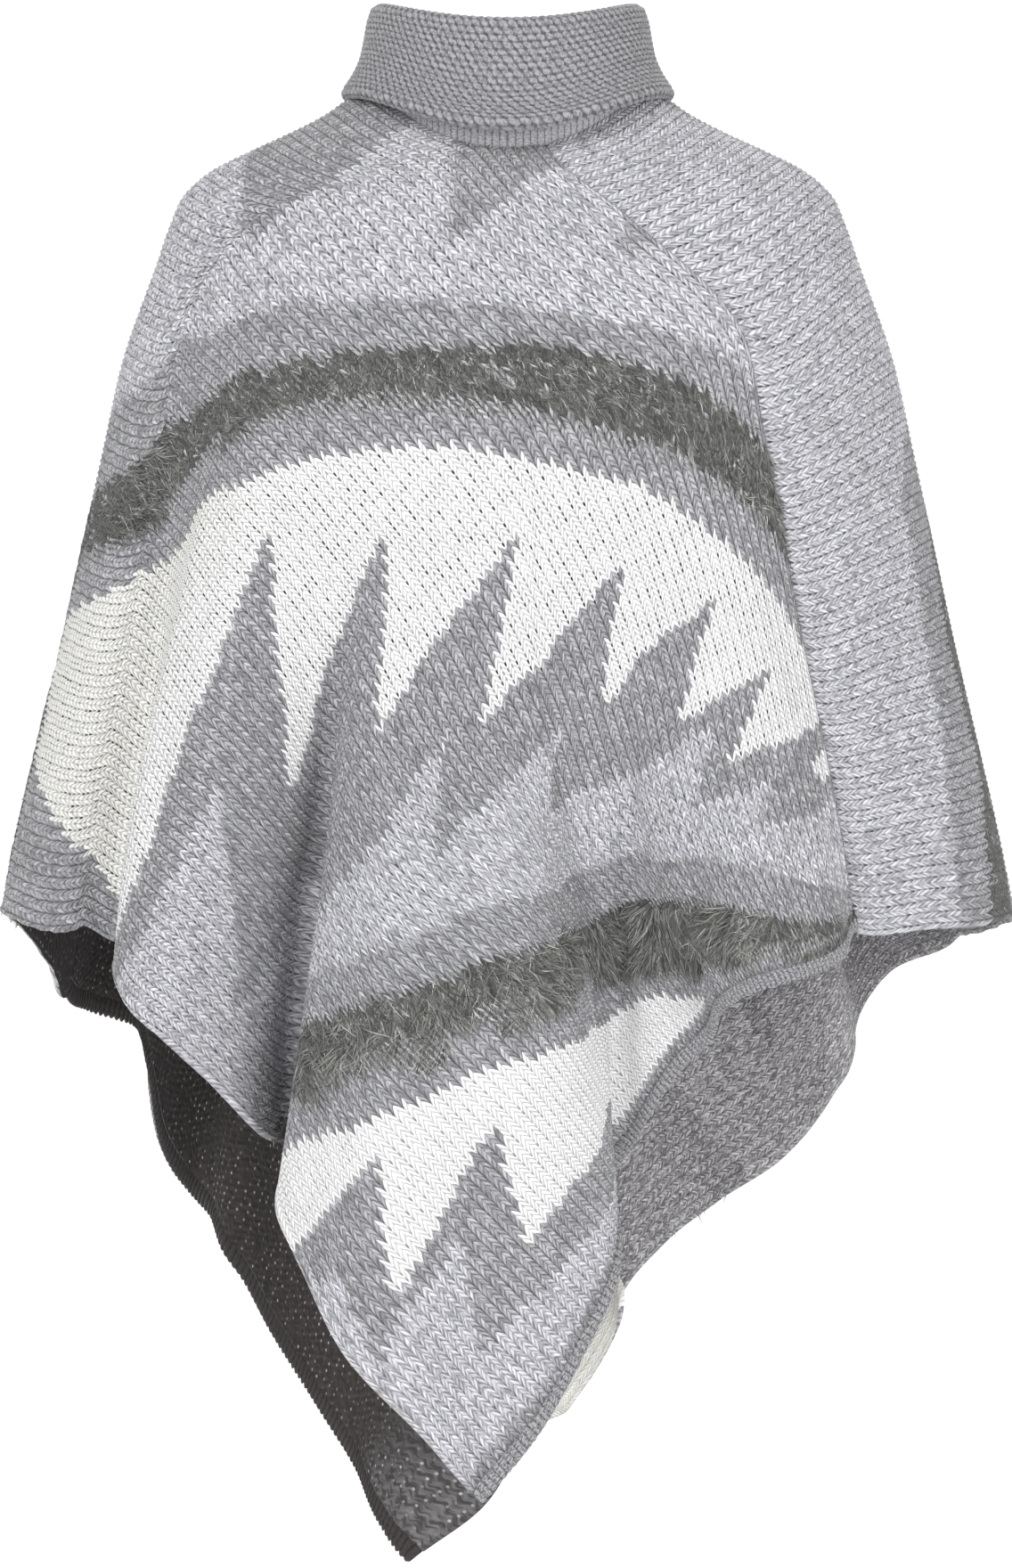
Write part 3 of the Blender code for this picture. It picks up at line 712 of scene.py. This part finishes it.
def stockinette(name, hole_shade_and_dip, relief_depth, finer=1.0):
    """Legs of V stitches in flecked yarn, with painted shade in the gaps between the legs, in a
    hole where each V starts and in thinner holes between two wales.
    """
    n = Nodes(name)
    across, along = (place * finer for place in n.stitch_place())
    wide = across.saw()
    leaned = along - SLANT * (wide * (1 + LEG_BOW - LEG_BOW * wide) - 0.5)
    side = (across * 2.0).floor()
    leg = leaned.saw().dome() * ((wide * 2.0 - 1.0).dome(1.05) * 0.7 + 0.3)
    ply = n.noise(n.place(across * PLY[0], leaned * PLY[1], side * PLY[2]), 1.0, 3.0, 0.55)
    fibre = n.noise(n.place(across * HAIRS[0], leaned * HAIRS[1], side * HAIRS[2]), 1.0, 2.0, 0.6)
    broad = n.noise(n.place(across, along), 0.12, 3.0)
    stitch = n.chance(n.place(side, leaned.floor()))[0]

    thread, fleck_share = n.attribute("thread")
    flecked = (ply + fleck_share * 0.42 - 0.68).step(-0.16, 0.16)
    colour = n.mix(flecked, thread, n.attribute("fleck")[0])
    dull = (1.0 - n.split(thread)[1]).larger(0.02)
    uneven = (stitch - 0.5) * (dull * 0.70 + 0.07)
    light = (fibre * 0.24 + 0.86) * (uneven + 1.0) * (broad * 0.14 + 0.94)

    # Painted shade: darker in the gaps between the legs and down the groove in the middle of each
    # wale, less on pale yarn.
    between = leg.step(0.62, 0.10) * LEG_GAP_SHADE
    middle = wide.step(0.26, 0.04) * (stitch * 0.40 + 0.34)
    deep = (dull * 1.9).smaller(0.85) + 0.05
    light = light * (1.0 - between.larger(middle) * deep)

    calm_s, calm_t = CALM[0] / ROW, CALM[1] / WALE
    calm = along.step(*calm_s.tolist()) * across.step(*calm_t.tolist())
    holes = []
    for aside, sideways, shift, (short, narrow), share in (
        (wide, 0.0, SLANT / 2 + 0.35, DOT, 1.0),
        (1.0 - wide, 0.5, 0.5 - SLANT / 2, DASH, DASH_SHARE),
    ):
        row = along + shift
        chance = n.chance(n.place((across + sideways).floor(), row.floor(), sideways))[0]
        up, aside = (row % 1.0 - 0.5) * narrow, aside * short
        far = aside * aside + up * up
        holes.append(far.step(1.0, 0.05) * (chance * chance * (1.5 * share) + 0.45 * share))
    # Painted shade in the holes, strongest on pale yarn; the same value also sinks them in the
    # bump.
    dot = holes[0].larger(holes[1]) * (dull * (-1.4 * hole_shade_and_dip) + hole_shade_and_dip) * (1.0 - calm * 0.5)
    light = light * (1.0 - dot)
    relief = fibre * 0.10 + leg - dot
    return n.finish(colour, light, 0.92 - fibre * 0.15, relief, relief_depth, 0.9, 0.25)


def wrong_side():
    """Reverse of the knitting: low purl loops, with light specks of the yarn in front."""
    n = Nodes("patterned_knit_reverse")
    across, along = n.stitch_place()
    rows = (across * (2 * pi)).sine() * 0.22 + along
    loop = (rows * (2 * pi) + pi / 2).sine() * 0.5 + 0.5
    flecked = n.noise(n.place(across * 0.9, rows * 1.6), 1.0, 3.0).step(0.42, 0.60)
    colour = n.mix(flecked, n.attribute("thread")[0], n.attribute("fleck")[0])
    chance, aside = n.chance(n.place(across.floor(), along.floor()))
    aside = n.split(aside)
    dx = across % 1.0 - (aside[0] * 0.4 + 0.3)
    dy = (along % 1.0 - (aside[1] * 0.4 + 0.3)) * (ROW / WALE)
    often = n.noise(n.place(across, along), 0.16, 2.0).step(0.24, 0.56)
    speck = ((dx * dx + dy * dy) ** 0.5).step(0.15, 0.05) * (chance * often) ** 1.4
    fibre = n.noise(n.place(across, along), 14.0, 3.0)
    # Painted shade: lighter on the tops of the purl loops, darker between them.
    light = (loop * 0.18 + 0.86) * (fibre * 0.5 + 0.75)
    colour = n.mix(speck, colour, SPECK_GREY)
    return n.finish(colour, light, 0.95, fibre * 0.3 + loop, 0.0007, 0.8, 0.1)


def larger(a, b):
    return a.larger(b) if isinstance(a, Value) else np.maximum(a, b)


def purl_height(across, along):
    """Short slanted loops in a brick pattern, in nodes or in numbers.

    Their places are in loops across and in pairs of rows along."""
    tops = []
    for offset in (0.0, 0.5):
        x = (across + offset) % 1.0 - 0.5
        y = ((along + offset) % 1.0 - 0.5 - x * SLOPE) * LOOP_FLAT
        x = x * LOOP_SHORT
        tops.append(larger(1.0 - (x * x + y * y), 0.0) ** 0.5)
    return larger(*tops)


def rib_height(across, along):
    rib = abs((across * pi).sine())
    row = abs((rib * 0.6 + along * pi).sine())
    return rib**0.6 * (row * 0.35 + 0.65)


def heather(name, thread, fleck, height_of, distance):
    """Plain grey yarn with lighter and darker fibres over a knitted relief."""
    n = Nodes(name)
    across, along = n.stitch_place()
    height = height_of(across, along)
    place = n.place(across * 2.6, along * 3.6)
    fibre = n.noise(place, 5.0, 2.0, 0.6)
    colour = n.mix(n.noise(place, 1.0, 3.0, 0.6).step(0.40, 0.62), (*thread, 1.0), (*fleck, 1.0))
    # Painted shade: darker in the hollows between the loops or ribs.
    light = (fibre * 0.45 + 0.76) * (height.step(0.0, 0.7) * 0.58 + 0.45)
    return n.finish(colour, light, 0.95 - fibre * 0.15, fibre * 0.15 + height, distance, 0.9, 0.25)


def fur_material():
    n = Nodes("fur_yarn")
    patch = n.noise(n.position(), 60.0, 2.0)
    grain = n.noise(n.position(), 900.0, 1.0)
    colour = n.attribute("strand")[0]
    return n.finish(colour, patch * 0.6 + 0.70, patch * 0.2 + 0.65, grain, 0.0004, 0.5, 0.3)


# ---------------- meshes
def make_mesh(name, points, faces, materials):
    """An object of smooth faces."""
    mesh = bpy.data.meshes.new(name)
    mesh.from_pydata(np.reshape(points, (-1, 3)).tolist(), [], faces)
    for material in materials:
        mesh.materials.append(material)
    mesh.shade_smooth()
    made = bpy.data.objects.new(name, mesh)
    bpy.context.scene.collection.objects.link(made)
    return made


def make_piece(name, points, faces, materials, replaced=None, face_material=None):
    """A piece of the garment, with the CAD node that it replaces."""
    piece = make_mesh(name, points, faces, materials)
    if face_material is not None:
        piece.data.polygons.foreach_set("material_index", np.asarray(face_material, np.int32))
    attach(piece, "root")
    if replaced:
        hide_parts(replaced)
    return piece


def set_uv(piece, across, along, around=0):
    """One place in the knitting for each vertex, in quads that may close a round of stitches."""
    mesh = piece.data
    corners = np.empty(len(mesh.loops), np.int32)
    mesh.loops.foreach_get("vertex_index", corners)
    uv = np.stack([np.ravel(across), np.ravel(along)], -1)[corners]
    if around:
        quads = uv[:, 0].reshape(-1, 4)
        uv[:, 0] += around * (quads < quads.max(axis=1, keepdims=True) - around / 2).ravel()
    layer = mesh.uv_layers.new(name="knit")
    layer.uv.foreach_set("vector", uv.astype(np.float32).ravel())


def set_colour(piece, name, domain, colours):
    layer = piece.data.attributes.new(name, "FLOAT_COLOR", domain)
    layer.data.foreach_set("color", np.asarray(colours, np.float32).ravel())


def tube_faces(number):
    """Quads between rows of numbered points, of which the last row joins the first."""
    below = np.roll(number, -1, axis=0)
    return np.stack([number[:, :-1], number[:, 1:], below[:, 1:], below[:, :-1]], -1).reshape(-1, 4)


def ring_faces(grid):
    """Quads of a form in which each row closes too."""
    number = np.arange(grid.shape[0] * grid.shape[1]).reshape(grid.shape[:2])
    return tube_faces(np.hstack([number, number[:, :1]])).tolist()


def clear_of_neck(s, t):
    """Places moved out of the scoop at the neck, and whether they were outside it."""
    beside, below = np.maximum(PANEL_WIDTH - s, 0), np.maximum(PANEL_WIDTH - t, 1e-9)
    grow = np.maximum(NECK_RADIUS / np.hypot(beside, below), 1)
    s = np.where(s < PANEL_WIDTH, PANEL_WIDTH - beside * grow, s)
    return s, PANEL_WIDTH - below * grow, grow <= 1


def wall_out(s, t, wide):
    """Height of the face of the knitting over the middle of the cloth."""
    height = WALL / 2 + np.interp(wide, [0.0, 0.5, 1.0], [CENTRE_DIP, LEG_RISE, WALE_DIP])
    to_side = np.where(s < PANEL_WIDTH - NECK_RADIUS, PANEL_WIDTH - t, 1.0)
    to_end = np.where(t < PANEL_WIDTH - NECK_RADIUS, PANEL_LENGTH - s, 1.0)
    near = np.minimum(np.minimum(to_side, to_end), s - EDGING_WIDTH + 0.002)
    height -= SEAM_DIP * (1 - smoothstep(near, 0.0, SEAM_ROLL))
    roll = np.clip(t, 0, 2 * HEM_ROLL)
    rolled = np.sqrt(np.maximum(HEM_ROLL**2 - (roll - HEM_ROLL) ** 2, 0)) - 0.0002
    return np.where(t < 2 * HEM_ROLL, np.maximum(np.where(t < HEM_ROLL, 0, height), rolled), height)


def panel_grid(columns):
    """Flat places of the corners of stitches, and how far each is from the middle of its wale."""
    i, j = np.mgrid[0 : ROWS + 1, 0 : WALES * columns + 1]
    wide = np.abs((j % columns) / columns * 2 - 1)
    zigzag = SLANT * ROW * (wide * (1 + LEG_BOW - LEG_BOW * wide) - 0.5) * ((i > 0) & (i < ROWS))
    s = EDGING_WIDTH + i * ROW + (zigzag if columns > 1 else 0)
    return s.ravel(), (j * WALE / columns).ravel(), wide.ravel()


def make_panel(panel, materials):
    """One rectangle: four mesh columns to a wale outside, one quad to a stitch inside.

    Its materials are for the right side, the wrong side, and legs that show on the wrong side."""
    s_out, t_out, wide = panel_grid(LEG_COLUMNS)
    s, t, _ = clear_of_neck(s_out, t_out)
    base, outward = surface(panel, s, t)[:2]
    outer = base + outward * wall_out(s, t, wide)[:, None]

    s_in, t_in, _ = panel_grid(1)
    s, t, clear = clear_of_neck(s_in, t_in)
    base, outward = surface(panel, s, t)[:2]
    inner = base - outward * WALL / 2
    clear = clear.reshape(ROWS + 1, WALES + 1)
    clear_low = clear[:-1, :-1] | clear[1:, :-1]
    kept = clear_low | clear[:-1, 1:] | clear[1:, 1:]
    kept &= clear_low | (s.reshape(clear.shape)[:-1, :-1] < PANEL_WIDTH)

    out = np.arange(len(outer)).reshape(ROWS + 1, -1)
    back = len(outer) + np.arange(len(inner)).reshape(ROWS + 1, -1)
    cells = np.argwhere(kept)
    kept_round = np.pad(kept, 1)
    faces, owner, layer = [], [], []
    for cell, (r, w) in enumerate(cells.tolist()):
        top, low = out[r : r + 2, w * LEG_COLUMNS : (w + 1) * LEG_COLUMNS + 1].tolist()
        (a, b), (c, d) = back[r : r + 2, w : w + 2].tolist()
        sides = (
            (kept_round[r + 1, w], (top[0], low[0], c, a)),
            (kept_round[r + 1, w + 2], (low[-1], top[-1], b, d)),
            (kept_round[r, w + 1], (*top[::-1], a, b)),
            (kept_round[r + 2, w + 1], (*low, d, c)),
        )
        rims = [face for neighbour, face in sides if not neighbour]
        faces += [*zip(top, top[1:], low[1:], low), (a, c, d, b), *rims]
        owner += [cell] * (LEG_COLUMNS + 1 + len(rims))
        layer += [0] * LEG_COLUMNS + [1] + [0] * len(rims)
    owner, layer = np.array(owner), np.array(layer)
    used = np.zeros(len(outer) + len(inner), bool)
    used[np.concatenate(faces)] = True
    number = np.cumsum(used) - 1

    rng = np.random.default_rng(SEED + panel)
    middle = EDGING_WIDTH + (cells[:, 0] + 0.5) * ROW, (cells[:, 1] + 0.5) * WALE
    shown = outside_yarn(panel, *middle, rng)
    *hidden, legs = inside_yarn(panel, *middle, rng)
    layer[(layer == 1) & legs[owner]] = 2
    name = PANEL_NAMES[panel]
    faces = [number[list(face)].tolist() for face in faces]
    points = np.vstack([outer, inner])[used]
    slot, replaced = "patterned_knit", name + "_panel"
    piece = make_piece(name + "_knit", points, faces, materials, replaced, layer)
    across = np.concatenate([t_out, t_in])[used] / WALE
    set_uv(piece, across, (np.concatenate([s_out, s_in])[used] - EDGING_WIDTH) / ROW)
    for key, front, reverse in zip(("thread", "fleck"), shown, hidden):
        set_colour(piece, key, "FACE", np.where(layer[:, None] == 0, front[owner], reverse[owner]))
    return piece


def make_edging(panel, materials):
    """Ribbed, slightly rolled band along the end of a rectangle, charcoal on its wrong side."""
    columns = RIBS * RIB_COLUMNS
    rng = np.random.default_rng(SEED + 30 + panel)
    deep = SCALLOPS[panel] * rng.uniform(0.3, 1.0, RIBS + 1)
    notches = np.interp(np.linspace(0, RIBS, columns + 1), np.arange(RIBS + 1), deep)
    turn = np.linspace(0, 2 * pi, EDGING_SIDES, endpoint=False)
    around, col = np.meshgrid(turn, np.arange(columns + 1), indexing="ij")
    rib = np.abs(np.sin(pi * col / RIB_COLUMNS))
    t = EDGING_GAP + col / columns * (PANEL_WIDTH - 2 * EDGING_GAP)
    aside = np.cos(around)
    s = EDGING_WIDTH / 2 + (EDGING_WIDTH / 2 - 0.0002) * aside
    s += 0.0009 * np.clip(aside, 0, 1) - notches * (rib - 0.7) * np.clip(-aside, 0, 1)
    height = (EDGING_THICK + RIB_DEPTH * (rib - 0.6)) * np.sin(around)
    base, outward = surface(panel, s.ravel(), t.ravel())[:2]
    points = base + outward * height.ravel()[:, None]
    number = np.arange(len(points)).reshape(EDGING_SIDES, -1)
    faces = tube_faces(number)[:, [0, 3, 2, 1]].tolist()
    faces += [number[:, 0].tolist(), number[::-1, -1].tolist()]
    wrong = np.append(np.repeat(np.sin(turn + pi / EDGING_SIDES) < -0.05, columns), [False, False])
    name = PANEL_NAMES[panel]
    named, replaced = name + "_ribbed_edging", name + "_edging"
    piece = make_piece(named, points, faces, materials, replaced, wrong)
    set_uv(piece, col / RIB_COLUMNS, s / RIB_HEIGHT)
    return piece


def ring_grid(rows, columns):
    """Points of oval courses round the neck, and the outward directions of their cloth."""
    turn = np.linspace(0, 2 * pi, columns, endpoint=False)
    sine, cosine = np.sin(turn), np.cos(turn)
    half_width, front, back, side_z, front_z, back_z, dip = rows.T[:, :, None]
    x, y = oval(sine, cosine, half_width, front, back)
    z = side_z + (np.where(cosine > 0, front_z, back_z) - side_z) * np.abs(cosine) ** dip
    points = np.stack([x, y, z], -1)
    around = np.roll(points, -1, axis=1) - np.roll(points, 1, axis=1)
    return points, unit(np.cross(np.gradient(points, axis=0), around))


def rolled_grid(rows, lip_rows):
    """The middle of the collar's knitting from its foot over the rim to its curled lower edge.

    With it come its outward direction, the way along it and its places in loops."""
    share = np.linspace(0, 1, rows)
    steps = np.linalg.norm(np.diff(COLLAR[:, [HALF_WIDTH, SIDE_Z]], axis=0), axis=1)
    places = np.concatenate([[0], np.cumsum(steps)])
    length = places[-1]
    points, outward = ring_grid(curve(share * length, places, COLLAR), COLLAR_COLUMNS)
    down = unit(points[-1] - points[-2])
    out = unit(outward[-1] - (outward[-1] * down).sum(-1, keepdims=True) * down)
    bend = np.linspace(0, LIP_TURN, lip_rows + 1)[1:, None, None]
    lip = points[-1] + LIP_RADIUS * (down * np.sin(bend) - out * (1 - np.cos(bend)))
    outward = np.concatenate([outward, out * np.cos(bend) + down * np.sin(bend)])
    far = np.concatenate([share * length, length + LIP_RADIUS * bend[:, 0, 0]])[:, None]
    across = np.arange(COLLAR_COLUMNS) / COLLAR_COLUMNS * LOOPS_ROUND
    return np.concatenate([points, lip]), outward, far, *np.meshgrid(across, far / LOOP_PAIR)


def make_collar(purl, ribbed):
    points, outward, far, across, along = rolled_grid(SIDE_ROWS, LIP_ROWS)
    ends = np.sqrt(np.clip(np.minimum(far, far[-1] - far) / LIP_END, 0, 1))
    rise = (WALL / 2 + (purl_height(across, along) - 0.5) * PURL_RISE) * ends + 0.0002
    right = points + outward * rise[..., None]

    under = rolled_grid(BACK_ROWS, LIP_ROWS // 2)
    points, outward, far, across_under, along_under = (grid[::-1] for grid in under)
    foot = smoothstep(far, FOOT_LENGTH, FOOT_LENGTH * 0.7)
    rib = np.abs(np.sin(pi * across_under)) * FOOT_RIB * foot
    inward = np.where(far > far[0] - LIP_RADIUS * LIP_TURN, WALL / 2 - 0.0006, WALL / 2)
    grid = np.concatenate([right, points - outward * (inward + rib)[..., None]])
    kind = np.repeat(np.arange(len(grid)) >= len(right), COLLAR_COLUMNS)
    piece = make_piece(
        "roll_collar_knit", grid, ring_faces(grid), [purl, ribbed], "roll_collar", kind
    )
    set_uv(piece, np.vstack([across, across_under]), np.vstack([along, along_under]), LOOPS_ROUND)
    return piece


def make_stand(material):
    """The ribbed foot of the collar, seen between its lower edge and the panels."""
    columns = STAND_RIBS * RIB_COLUMNS
    rows = curve(np.linspace(0, 1, STAND_ROWS), np.linspace(0, 1, len(STAND)), STAND)
    points, outward = ring_grid(rows, columns)
    rib = np.abs(np.sin(pi * np.arange(columns) / RIB_COLUMNS))
    outer = points + outward * (STAND_THICK + RIB_DEPTH * (rib - 0.5))[None, :, None]
    grid = np.concatenate([outer, points[::-1] - outward[::-1] * STAND_THICK])
    piece = make_piece("neck_ribbing", grid, ring_faces(grid), [material])
    height = np.concatenate([np.arange(STAND_ROWS), np.arange(STAND_ROWS)[::-1]])
    set_uv(piece, *np.meshgrid(np.arange(columns) / RIB_COLUMNS, height * 0.5))
    return piece


# ---------------- fur
def make_fur(panel, number, material):
    """A band of brushed yarn: fine strands, matted every way but mostly towards the edging."""
    rng = np.random.default_rng(SEED + 10 * panel + number)
    band = BANDS[number]
    count = STRANDS[panel][number]
    t = rng.uniform(0.001, PANEL_WIDTH - 0.001, count)
    top, low = border(band, FUR_STARTS, t), border(band, FUR_ENDS, t) + FUR_OVERHANG[number]
    notches = RAGGED[number] * rng.permutation(np.linspace(-1, 1, NOTCHES))
    ragged = np.interp(t, np.linspace(0, PANEL_WIDTH, NOTCHES), notches)
    s = low + ragged + (top + FUR_RISE - low - ragged) * rng.beta(1.05, 1.0, count)
    s -= band_place(panel, s, t) - s
    keep = s > EDGING_WIDTH * 0.8
    s, t = s[keep], t[keep]
    count = len(s)
    calm = (panel == BACK and number == 0) * (1 - smoothstep(t, *FLAT_FUR))
    points, outward, along, across = surface(panel, s, t)

    swirl = np.sin(t * 61 + s * 83) + np.sin(t * 127 - s * 171 + 1.3) + np.sin(t * 23 + 0.7)
    bunch = 2 * pi * t / TUFT + 1.5 * np.sin(s * 210) + 1.3 * np.sin(t * 47)
    turn = FUR_LEAN[number] + 0.40 * swirl + 0.55 * np.cos(bunch) + rng.normal(0, 0.42, count)
    tuft = np.interp(t, np.linspace(0, PANEL_WIDTH, TUFT_SIZES), rng.uniform(0.7, 1.3, TUFT_SIZES))
    length = STRAND_LENGTHS[number] * tuft * rng.uniform(0.45, 1.3, count) * (1 - 0.55 * calm)
    length *= (0.4 + 0.6 * smoothstep(t, 0.0, 0.025)) * (0.5 + 0.5 * smoothstep(s, 0.015, 0.060))
    lie = -along * np.cos(turn)[:, None] + across * np.sin(turn)[:, None] + np.array([0, 0, -0.35])
    lie += outward * (rng.uniform(0.0, 0.34, count) ** 1.3 * (1 - 0.8 * calm))[:, None]
    lie = unit(lie)
    lift = np.maximum((lie * outward).sum(-1), 0.03)
    flat = lie - outward * (lie * outward).sum(-1, keepdims=True)
    side = unit(np.cross(lie, outward) + rng.normal(0, 0.35, (count, 3)))
    root = points + outward * (WALL / 2 - 0.0002)
    bend = np.cross(flat, outward) * rng.normal(0, 0.30, count)[:, None]
    rows = []
    for step, width in ((0.0, 0.9), (0.55, 1.0), (1.0, 0.0)):
        spine = root + flat * (length * step)[:, None] + bend * (length * step**2)[:, None]
        spine += outward * (length * lift * (step - 0.55 * step**2))[:, None]
        spine += np.array([0, 0, -0.10]) * (length * step**2)[:, None]
        sized = side * (width * STRAND_WIDTH / 2 * rng.uniform(0.7, 1.3, count))[:, None]
        rows += [spine - sized, spine + sized] if width else [spine]
    points = np.stack(rows, 1)
    first = np.arange(count) * len(rows)
    faces = []
    for corners in ((0, 1, 3, 2), (2, 3, 4)):
        faces += np.stack([first + corner for corner in corners], -1).tolist()
    name = f"{PANEL_NAMES[panel]}_fur_{('upper', 'lower')[number]}"
    piece = make_piece(name, points, faces, [material])
    shade = np.array(STRAND_SHADES)[rng.choice(len(STRAND_SHADES), count, p=SHADE_CHANCES)]
    # Painted shade and light: strands in the gaps between the tufts darker, strands on the tufts
    # lighter.
    shade = shade * rng.uniform(0.8, 1.2, (count, 1)) * (1 + 0.36 * np.sin(bunch))[:, None]
    colours = np.ones((count, len(rows), 4))
    colours[..., :3] = shade[:, None] * STRAND_GAIN[:, None]
    set_colour(piece, "strand", "POINT", colours)
    return piece


# ---------------- the garment
def build_garment():
    knits = [
        stockinette("patterned_knit", 0.62, 0.0014),
        wrong_side(),
        stockinette("patterned_knit_legs_inside", 0.22, 0.0008, finer=1.35),
    ]
    purl = heather("grey_knit", *COLLAR_GREY, purl_height, 0.0012)
    ribbed = heather("grey_rib", *EDGING_GREY, rib_height, 0.0009)
    ribbed_inside = heather("charcoal_rib", CHARCOAL.thread, CHARCOAL.fleck, rib_height, 0.0009)
    # Its grey is painted lighter to make up for the shadow of the collar's lip.
    ribbed_stand_painted_light = heather("grey_rib_of_the_neck_painted_light", *STAND_GREY_PAINTED_LIGHT, rib_height, 0.0007)
    fur = fur_material()
    for panel in (FRONT, BACK):
        piece = make_panel(panel, knits)
        trim = [make_edging(panel, [ribbed, ribbed_inside])]
        trim += [make_fur(panel, number, fur) for number in (0, 1)]
    collar = make_collar(purl, ribbed)
    make_stand(ribbed_stand_painted_light)


# ---------------- the studio
EYE = (-0.00114, -4.0, -0.4389)
LENS = 143.54
FLOOR_Z = -1.42
FLOOR_HALF_WIDTH = 11.0
BACKDROP = 11.0  # far enough back to stand behind the viewer of the back as well
BACKDROP_TOP = 7.0
SWEEP = 3.0  # radius of the bend between the floor and the backdrop
SWEEP_STEPS = 24
FLOOR_TONE = 0.955
WORLD_LIGHT = 0.57
GARMENT = (0.0, 0.0, -0.45)
LAMPS = [  # place, target, size and power
    ("key_light", (-2.0, -2.9, 1.6), GARMENT, 2.4, 85.0),
    ("fill_light", (2.4, -2.6, 0.0), GARMENT, 2.6, 53.0),
    ("back_light", (0.5, 2.4, 2.2), GARMENT, 2.2, 30.0),
    ("backdrop_light", (0.0, 5.0, 4.2), (0.0, BACKDROP, -1.0), 4.0, 230.0),
]


def build_floor():
    """A floor that sweeps up into a backdrop."""
    bend = np.linspace(0, pi / 2, SWEEP_STEPS)
    sweep = zip(BACKDROP - SWEEP + SWEEP * np.sin(bend), FLOOR_Z + SWEEP * (1 - np.cos(bend)))
    rows = [(-BACKDROP, FLOOR_Z), *sweep, (BACKDROP, BACKDROP_TOP)]
    points = [(side * FLOOR_HALF_WIDTH, y, z) for y, z in rows for side in (-1, 1)]
    faces = [(2 * k, 2 * k + 1, 2 * k + 3, 2 * k + 2) for k in range(len(rows) - 1)]
    n = Nodes("pale_floor")
    tone = n.noise(n.position(), 1.5, 2.0) * 0.02 + FLOOR_TONE
    n.fill(n.shader, {"Base Color": n.place(tone, tone, tone), "Roughness": 0.9})
    make_mesh("studio_floor", points, faces, [n.material])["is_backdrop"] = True


def build_studio():
    world = bpy.data.worlds.new("soft_light")
    world.use_nodes = True
    sky = world.node_tree.nodes["Background"]
    sky.inputs["Color"].default_value = (1.0, 1.0, 1.0, 1.0)
    sky.inputs["Strength"].default_value = WORLD_LIGHT
    scene = bpy.context.scene
    scene.world = world
    for name, place, target, size, power in LAMPS:
        light = bpy.data.lights.new(name, "AREA")
        light.size = size
        light.energy = power
        holder = bpy.data.objects.new(name, light)
        holder.location = place
        aim = Vector(target) - Vector(place)
        holder.rotation_euler = aim.to_track_quat("-Z", "Y").to_euler()
        scene.collection.objects.link(holder)

    lens = bpy.data.cameras.new("camera")
    lens.lens = LENS
    lens.sensor_width = 36.0
    lens.clip_start, lens.clip_end = 0.05, 60.0
    camera = bpy.data.objects.new("camera", lens)
    camera.location = EYE
    camera.rotation_euler = (radians(90), 0, 0)
    scene.collection.objects.link(camera)
    scene.camera = camera
    scene.view_settings.view_transform = "Standard"


build_garment()
build_floor()
build_studio()

bpy.context.view_layer.update()
boxes = {"cad": CAD_BOX, "visual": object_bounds()}
boxes = {name: [list(corner) for corner in box] for name, box in boxes.items()}
